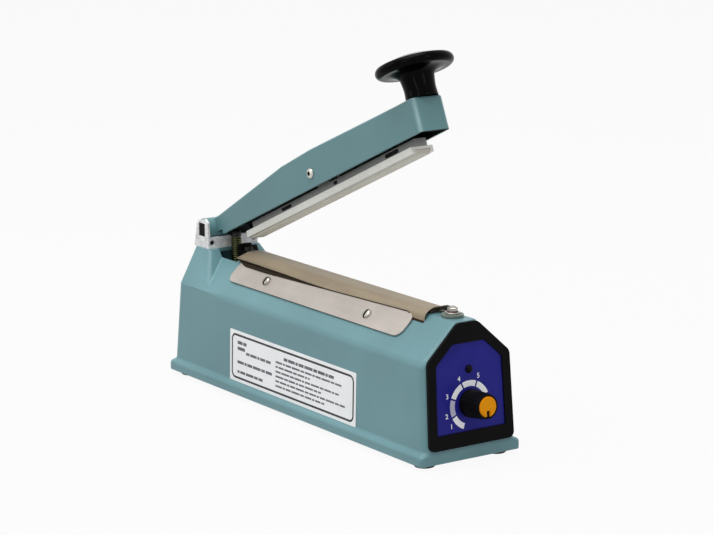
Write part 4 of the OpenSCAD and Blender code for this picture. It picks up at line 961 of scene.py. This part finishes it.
label_outline = round_corners(label_w, label_h, label_corner)
label_rows = [[on_label(x, y, lift) for x, y in label_outline] for lift in (-label_thick, 0.0)]
softened("side_label", "label_film", label_edge, 2, bm=shape([label_rows]))
frame_edges = []
for off, radius in ((frame_in, frame_r), (frame_in + frame_wide, frame_r - frame_wide)):
    points = round_corners(label_w - 2 * off, label_h - 2 * off, radius)
    frame_edges.append([on_label(x, y) for x, y in points + points[:1]])
printed("label_frame", shape([strip(*frame_edges, label_out * ink)], weld=True), "black_ink")

bar_gap = 0.9 * MM
left_edge, inset_edge, right_edge, top_edge = mm(-64.5, -54.0, -18.0, -8.4)
left_rows = [(left_edge, 8.6, 11.0, 2.2), (left_edge, 4.6, 9.0, 2.2), (inset_edge, 2.8, 30.0, 1.8),
             (left_edge, -4.6, 42.0, 1.9), (left_edge, -11.2, 31.0, 1.8)]
right_rows = [(top_edge, 8.4, 59.0, 2.0)] + [
    (right_edge, 5.2 - 3.2 * row, length, 1.25)
    for row, length in enumerate((76.0, 40.0, 73.0, 53.0, 80.0, 57.0))]


def bars(rows, seed):
    """Rows of short bars, whose lengths follow a fixed rhythm."""
    for row, (start, up, length, tall) in enumerate(rows):
        end = start + length * MM
        beat = seed + row
        while start < end:
            wide = min((2.6 + 1.7 * (beat * 7 % 5)) * MM, end - start)
            if wide > bar_gap:
                low = [on_label(start, up * MM), on_label(start + wide, up * MM)]
                high = [p + label_up * tall * MM for p in low]
                yield strip(low, high, label_out * ink)
            start += wide + bar_gap
            beat += 1


printed("label_bars_left", shape(bars(left_rows, 1)), "faint_ink")
printed("label_bars_right", shape(bars(right_rows, 3)), "faint_ink")
print("label:", round(label_w / MM, 1), "x", round(label_h / MM, 1), "mm")

# %% [markdown]
# The release cloth lies over the heating wire and is held under the clamp plates. It is not flat:
# it bulges between the strip and the plates, opens like an arch at the front, and at the rear its
# near edge has come out from under the plate. A simulation could drape it, but the held edges
# leave so little freedom that a section with a few swells along the ridge is closer.

# %% Release cloth sheet
cloth_thick = 0.3 * MM
cloth_low, cloth_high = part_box("release_cloth")
strip_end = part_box("insulating_strip")[1].x
crease_y, ridge_y = mm(33.5, 8.0)
slope = math.atan2(ridge_z - crease_z, crease_y - ridge_y)
roof_length = (ridge_z - crease_z) / math.sin(slope)
cloth_top = cloth_high.z - cloth_thick / 2
skirt = 7.0 * MM
skirt_edge = roof_length - skirt
plate_edge = 31.0 * MM
corner = (cloth_top - crease_z) / math.sin(slope) - 0.9 * MM
rest_lift = 0.2 * MM
front_lift, curl = mm(1.1, 1.9)
flap_start, flap_end, flap_long = mm(-67.0, 92.0, 5.2)
fold_start, fold_end, lip_run = mm(-85.0, 15.0, 14.0)
tuck_start, tuck_end = flap_end - 4.0 * MM, flap_end + 5.0 * MM
arch_start, arch_end = 86, 114
plate_top = 1.4 * MM
flap_points = 7


def near_edge(x):
    """The loose near edge: it lies on the plate, folds back and ends in a raised lip."""
    over = flap_long * min(1.0, max(0.0, (flap_end - x) / (flap_end - flap_start)))
    fold = 1 - eased(x, fold_start, fold_end)
    out = 1 - eased(x, tuck_start, tuck_end)
    lay = plate_top + 0.3 * MM
    edge = plate_edge + 0.3 * MM - over
    lip_s, lip_n = edge + (0.3 + 3.0 * fold) * MM, lay + (0.35 + 1.5 * fold) * MM
    bend, rise = lip_s + (0.5 + 1.2 * fold) * MM, lip_n - lay
    edge += (lip_s - edge) * 0.9 * (1 - eased(x, cloth_low.x, cloth_low.x + lip_run))
    run = bend - edge
    loose = [(edge, lay), (edge + run * 0.35, lay), (edge + run * 0.7, lay + 0.04 * rise),
             (bend, lay + 0.25 * rise), (bend + 0.1 * MM, lay + 0.5 * rise),
             (bend - (bend - lip_s) * 0.4, lay + 0.85 * rise), (lip_s, lip_n)]
    held = [(skirt_edge + 0.3 * k * MM, rest_lift) for k in range(flap_points)]
    return [(a + (c - a) * out, b + (d - b) * out) for (a, b), (c, d) in zip(held, loose)]


def cloth_section(x, side):
    """Half of the cloth's section at one place along the ridge, from its edge to its middle."""
    here = (x - base_mid) / MM
    front = eased(here, arch_start, arch_end)
    tip = eased(x, strip_end - 1.0 * MM, cloth_high.x) * curl
    ripple = 0.5 + 0.5 * math.sin(here / 11 + side) * math.sin(here / 27 + 1)
    swell = (0.2 + 0.3 * ripple) * MM + front_lift * front
    path = near_edge(x) if side < 0 else [(skirt_edge, rest_lift)]
    edge, lift = path[-1]
    for k in range(1, 15):
        t = k / 14
        fall, bulge = (lift - rest_lift) * (1 - t) ** 1.4, swell * math.sin(math.pi * t ** 0.8)
        path.append((edge + (corner - edge) * t, rest_lift + fall + bulge + tip * t))
    points = [(-crease_y + s * math.cos(slope) - n * math.sin(slope),
               crease_z + s * math.sin(slope) + n * math.cos(slope)) for s, n in path]
    start_y, start_z = points[-1]
    rise = cloth_top + tip - start_z
    for k in range(1, 9):
        t = k / 8
        points.append((start_y * (1 - t), start_z + rise * (1 - (1 - min(1.0, t * 2.2)) ** 2)))
    return [(y if side < 0 else -y, z) for y, z in points]


def cloth_shape(steps=150):
    rows = []
    for i in range(steps + 1):
        x = cloth_low.x + (cloth_high.x - cloth_low.x) * i / steps
        near_half, far_half = cloth_section(x, -1), cloth_section(x, 1)
        rows.append([(x, y, z) for y, z in near_half + far_half[-2::-1]])
    bm = shape([rows], closed=False, capped=False)
    bands = len(rows[0]) - 1
    # The flap's bands on the plate take the darker fabric: painted shade under the lip.
    for i, face in enumerate(bm.faces):
        face.material_index = int(i % bands < flap_points - 2)
    return bm


def width_of(section):
    return sum(math.dist(a, b) for a, b in zip(section, section[1:]))


bm = cloth_shape()
cloth_area = sum(face.calc_area() for face in bm.faces)
cloth = piece("release_cloth_sheet", bm, "release_fabric", "base")
cloth.data.materials.append(looks["flap_cloth_shade"])
thicken = cloth.modifiers.new("thickness", "SOLIDIFY")
thicken.thickness = cloth_thick
thicken.offset = 0.0
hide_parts("release_cloth")
cloth_l = cloth_high.x - cloth_low.x
cloth_w = cloth_area / cloth_l
widths = [width_of(cloth_section(x, -1)) + width_of(cloth_section(x, 1))
          for x in (cloth_low.x, base_mid, cloth_high.x)]
print("cloth:", round(cloth_w / MM, 1), "x", round(cloth_l / MM, 1), "mm; rear, middle and front",
      [round(w / MM, 1) for w in widths], "mm wide")

# %% [markdown]
# The return spring under the arm is wound from round wire. The solid spring has few sides, so the
# same helix is drawn again with more.

# %% Return spring
spring_low, spring_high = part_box("return_spring")
spring_foot = Vector(((spring_low.x + spring_high.x) / 2, 0, spring_low.z))
spring_curls, wire = 19, 1.2 * MM
spring_r = (spring_high.x - spring_low.x) / 2 - wire / 2


def spring_rows(rings=28, sides=12):
    total = spring_curls * rings
    low, high = spring_low.z + wire / 2, spring_high.z - wire / 2
    up = Vector((0, 0, 1))
    rows = []
    for i in range(total + 1):
        a = 2 * math.pi * spring_curls * i / total
        out = Vector((math.cos(a), math.sin(a), 0))
        centre = spring_foot.xy.to_3d() + spring_r * out + up * (low + (high - low) * i / total)
        rows.append([centre + wire / 2 * (c * out + s * up) for s, c in circle(sides)])
    return rows


spring = piece("return_spring_wound", shape([spring_rows()]), "olive_spring", "base",
               smooth=50)
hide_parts("return_spring")
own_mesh(spring)

# %% [markdown]
# The screws that show have turned heads: domed ones with a cut slot on the clamp plates, and one
# with a round socket on the arm. The solids have plain heads, so each is built again where its
# solid stands: a spun dome is split along the slot, and both halves stand on a thin disc.

# %% Screw heads
def islands(node):
    """The corner points of each separate solid of a node."""
    bm = flat_faced(node)
    seen, groups = set(), []
    for vert in bm.verts:
        if vert in seen:
            continue
        group, ends = {vert}, {vert}
        while ends:
            ends = {edge.other_vert(end) for end in ends for edge in end.link_edges} - group
            group |= ends
        seen |= group
        groups.append([member.co.copy() for member in group])
    bm.free()
    return groups


def head_place(points, out, turn=0.0):
    """The matrix that puts a head on a screw, from the screw's points and the way out of it."""
    side = out.orthogonal().normalized()
    across = out.cross(side)
    top = max(p.dot(out) for p in points)
    spot = out * top
    for axis in (side, across):
        reach = [p.dot(axis) for p in points]
        spot += axis * (min(reach) + max(reach)) / 2
    upright = Matrix((side, across, out)).transposed().to_4x4()
    return Matrix.Translation(spot) @ upright @ Matrix.Rotation(turn, 4, "Z")


def dome(radius, height, socket=0.0, deep=0.0):
    """The outline of a domed head that ends at height zero, with a round socket if it has one."""
    edge = 0.25 * height
    rise = [((height - edge) * (s - 1), radius * c ** 0.7) for s, c in arc(range(0, 90, 10))]
    hole = [(0.0, 0.0)]
    if socket:
        hole = [(-0.05 * height, socket), (-deep, socket * 0.94), (-deep, 0.0)]
    return ([(-height, 0.0), (-height, radius * 0.98), (-height, radius)]
            + [(up, out) for up, out in rise if out > socket] + hole)


def add_mesh(bm, other):
    """Adds one bmesh to another and frees it."""
    mesh = bpy.data.meshes.new("part")
    other.to_mesh(mesh)
    other.free()
    bm.from_mesh(mesh)
    bpy.data.meshes.remove(mesh)


def slotted(radius, height, slot, place, shank):
    """A domed head with a slot, on its place."""
    bm = bmesh.new()
    for side in (-1, 1):
        half = lathe(dome(radius, height), Matrix(), 48)
        cut = bmesh.ops.bisect_plane(
            half, geom=half.verts[:] + half.edges[:] + half.faces[:], dist=WELD,
            plane_co=(0, side * slot / 2, 0), plane_no=(0, -side, 0), clear_outer=True)
        rim = [e for e in cut["geom_cut"] if isinstance(e, bmesh.types.BMEdge)]
        bmesh.ops.holes_fill(half, edges=rim)
        add_mesh(bm, half)
    floor = [(-height - shank, 0.0), (-height - shank, radius * 0.5), (-height, radius * 0.5),
             (-height, radius * 0.97)]
    floor += [(-0.55 * height, radius * share) for share in (0.97, 0.75, 0.5, 0.25, 0.0)]
    add_mesh(bm, lathe(floor, Matrix(), 48))
    bm.transform(place)
    return bm


clamp_r, clamp_high, clamp_slot, clamp_shank = mm(3.3, 1.9, 1.6, 4.0)
clamp_turn = math.radians(40)
rock_r, rock_high, rock_socket, rock_deep = mm(3.4, 1.8, 1.5, 1.2)
rock_shank, rock_thread = mm(24.0, 1.9)
bm = bmesh.new()
slot_places = []
for points in islands("clamp_screws"):
    far = 1 if sum(p.y for p in points) > 0 else -1
    spot = head_place(points, Vector((0, far * math.sin(slope), math.cos(slope))), clamp_turn)
    slot_places.append(spot.inverted())
    add_mesh(bm, slotted(clamp_r, clamp_high, clamp_slot, spot, clamp_shank))
clamp_heads = piece("clamp_screws_dressed", bm, "screw_steel", "base", smooth=35)


def in_slot(face):
    """Whether a face lies in a slot: seen from its screw, close to the middle line."""
    seen = [turn @ face.center for turn in slot_places]
    return any(abs(p.y) < clamp_slot * 0.51 and p.xy.length < clamp_r and p.z > -clamp_high
               for p in seen)


darken(clamp_heads, "slot_shade", in_slot)
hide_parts("clamp_screws")

rock_place = head_place(islands("rock_screw")[0], Vector((0, -1, 0)))
rock_outline = [(-rock_high - rock_shank, 0.0), (-rock_high - rock_shank, rock_thread),
                (-rock_high, rock_thread)] + dome(rock_r, rock_high, rock_socket, rock_deep)[1:]
rock_head = piece("rock_screw_dressed", lathe(rock_outline, rock_place, 48), "satin_zinc", "arm",
                  smooth=35)
rock_seen = rock_place.inverted()


def in_socket(face):
    """Whether a face lies in the socket, as seen from its screw."""
    spot = rock_seen @ face.center
    return spot.xy.length < rock_socket * 0.98 and spot.z > -rock_high


darken(rock_head, "slot_shade", in_socket)
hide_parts("rock_screw")
print("screw heads:", len(slot_places), "slotted and one with a socket")

# %% [markdown]
# The front end of the heating wire is held by a small hexagon nut on a dull copper lock washer and
# a wide plain washer. The solid nut is plain, so the three are turned here with their own finishes.
# Behind the rear terminal, a thin black card on the pillar's front is painted shade: the pillar's
# front lies in shade there.

# %% Terminal nut and shade card
nut_low, nut_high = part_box("front_terminal_nuts")
nut_turn = Matrix.Translation(((nut_low.x + nut_high.x) / 2, 0, nut_low.z))


def turned(outline, steps):
    return lathe([(height * MM, radius * MM) for height, radius in outline], nut_turn, steps)


bm = turned([(0, 0), (0, 4.4), (0.15, 4.5), (0.75, 4.5), (0.9, 4.35), (0.9, 0)], 48)
add_mesh(bm, turned([(1.5, 0), (1.5, 2.9), (1.75, 3.3), (3.4, 3.3), (3.85, 2.7), (3.85, 0)], 6))
nut = piece("front_terminal_nuts_dressed", bm, "screw_steel", "base", smooth=30)
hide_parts("front_terminal_nuts")
bm = turned([(0.9, 0), (0.9, 3.3), (1.0, 3.4), (1.4, 3.4), (1.5, 3.3), (1.5, 0)], 40)
piece("lock_washer", bm, "copper_dull", "base", smooth=30)
# A thin black card on the far part of the pillar's front paints the shade there.
card_y, card_down, card_thick = (8.6 * MM, 17.0 * MM), (0.4 * MM, 6.5 * MM), 0.5 * MM
card_top = Vector((-129.5 * MM, 0, pillar_z))
card_fall, card_out = Vector((0.55, 0, -0.835)), Vector((0.835, 0, 0.55))
card_edges = [[card_top + card_fall * down + Vector((0, y, 0)) for y in card_y]
              for down in card_down]
piece("pillar_shade_card", shape([strip(*card_edges, card_out * card_thick)]), "painted_pillar_shade", "base",
      smooth=30)
print("terminal: nut, lock washer and card")

# %% [markdown]
# The steel holder of the pressing bar has slots along its upper edge on both sides. They could be
# cut into the solid, but they are shallow, so thin insets with round ends do it, dark with the
# painted shade of a slot.

# %% Slots of the bar holder
slot_runs = [(80.0, 93.0, 1.1), (147.0, 151.5, 1.1), (209.5, 225.0, 1.3)]
slot_up, slot_face, slot_sunk, slot_proud = mm(-9.2, 4.5, 0.4, 0.03)


def holder_slots():
    for side in (-1, 1):
        for start, end, half in slot_runs:
            half *= MM
            points = []
            for centre, turn in ((end * MM - half, -90), (start * MM + half, 90)):
                points += [(centre + half * c, slot_up + half * s)
                           for s, c in arc(turn + 180 * k / 8 for k in range(9))]
            yield [[pivot + arm_back @ Vector((u, side * out, v)) for u, v in points]
                   for out in (slot_face - slot_sunk, slot_face + slot_proud)]


piece("holder_slots", shape(holder_slots()), "slot_shade", "bar", smooth=40)
print("holder:", len(slot_runs), "slots on each side")

# %% [markdown]
# The rest of the metalwork keeps its shape and only loses its knife edges: plates, nuts, the
# hinge yoke with its bushes, the pressing bar and the feet.

# %% Metalwork and rubber
small = {
    "clamp_plate_near": ("drawn_plate", "plate_steel", 0.3),
    "clamp_plate_far": ("drawn_plate", "plate_steel", 0.3),
    "front_terminal_bolt": ("screw_steel", "steel", 0.2),
    "front_terminal_insulators": ("pale_insulator", "insulator", 0.3),
    # The rear terminal block and bolt are black partly as the painted shade of the pillar's
    # opening.
    "rear_terminal_block": ("sparked_black", "phenolic", 0.4),
    "rear_terminal_bolt": ("black_steel_and_shade", "dark_steel", 0.25),
    "hinge_yoke": ("bright_zinc", "bright_steel", 0.5),
    "yoke_screws": ("black_steel_and_shade", "dark_steel", 0.3),
    "hinge_bushes": ("sparked_black", "black_plastic", 0.2),
    "rock_nut": ("satin_zinc", "steel", 0.3),
    "bar_holder": ("holder_steel", "dark_steel", 0.4),
    "bar_rail": ("drawn_rail", "aluminium", 0.3),
    "silicone_strip": ("silicone_rubber", "silicone", 0.4),
    "rail_screws": ("satin_zinc", "steel", 0.25),
    "rubber_feet": ("dull_rubber", "black_rubber", 0.5),
    "foot_screws": ("satin_zinc", "steel", 0.25),
    "cord_grommet": ("dull_rubber", "black_rubber", 0.5),
    "rod_guide": ("nylon_white", "nylon", 0.25),
    "bottom_plate": ("satin_zinc", "plate_steel", 0.3),
}
for node, (look, slot, width) in small.items():
    softened(node, look, width * MM, 2)
print("metalwork:", len(small), "pieces rounded")

# %% [markdown]
# What is left keeps its solid: the blue film, the lamp, the rod and everything inside the
# housing. Each still gets its own finish, because a part may be opened or shown by itself.

# %% Finishes of the other solids
kept = {
    "satin_zinc": ["timer_pot", "pot_nut", "rear_terminal_nut", "hinge_pin", "switch_bracket",
                   "switch_screws", "bracket_screws", "transformer_strap", "strap_screws",
                   "strip_screws", "knob_bolt", "pot_shaft", "switch_lever"],
    "blue_film": ["panel_face"], "dark_lens": ["indicator_lamp"], "board_green": ["timer_board"],
    "brass_bright": ["board_standoffs"], "relay_blue": ["timer_relay", "timer_capacitor"],
    "fibre_strip": ["insulating_strip"], "alloy_wire": ["heating_wire"],
    "lead_red": ["heater_leads"], "phenolic_brown": ["micro_switch"],
    "core_sheets": ["transformer_core"], "lacquered_winding": ["transformer_coil"],
    # The push rod is black as painted shade above the spring.
    "nylon_white": ["terminal_strip"], "black_steel_and_shade": ["push_rod"],
}
for look, names in kept.items():
    for node in names:
        nodes[node].data.materials.clear()
        nodes[node].data.materials.append(looks[look])
print("other solids:", sum(map(len, kept.values())), "finished")
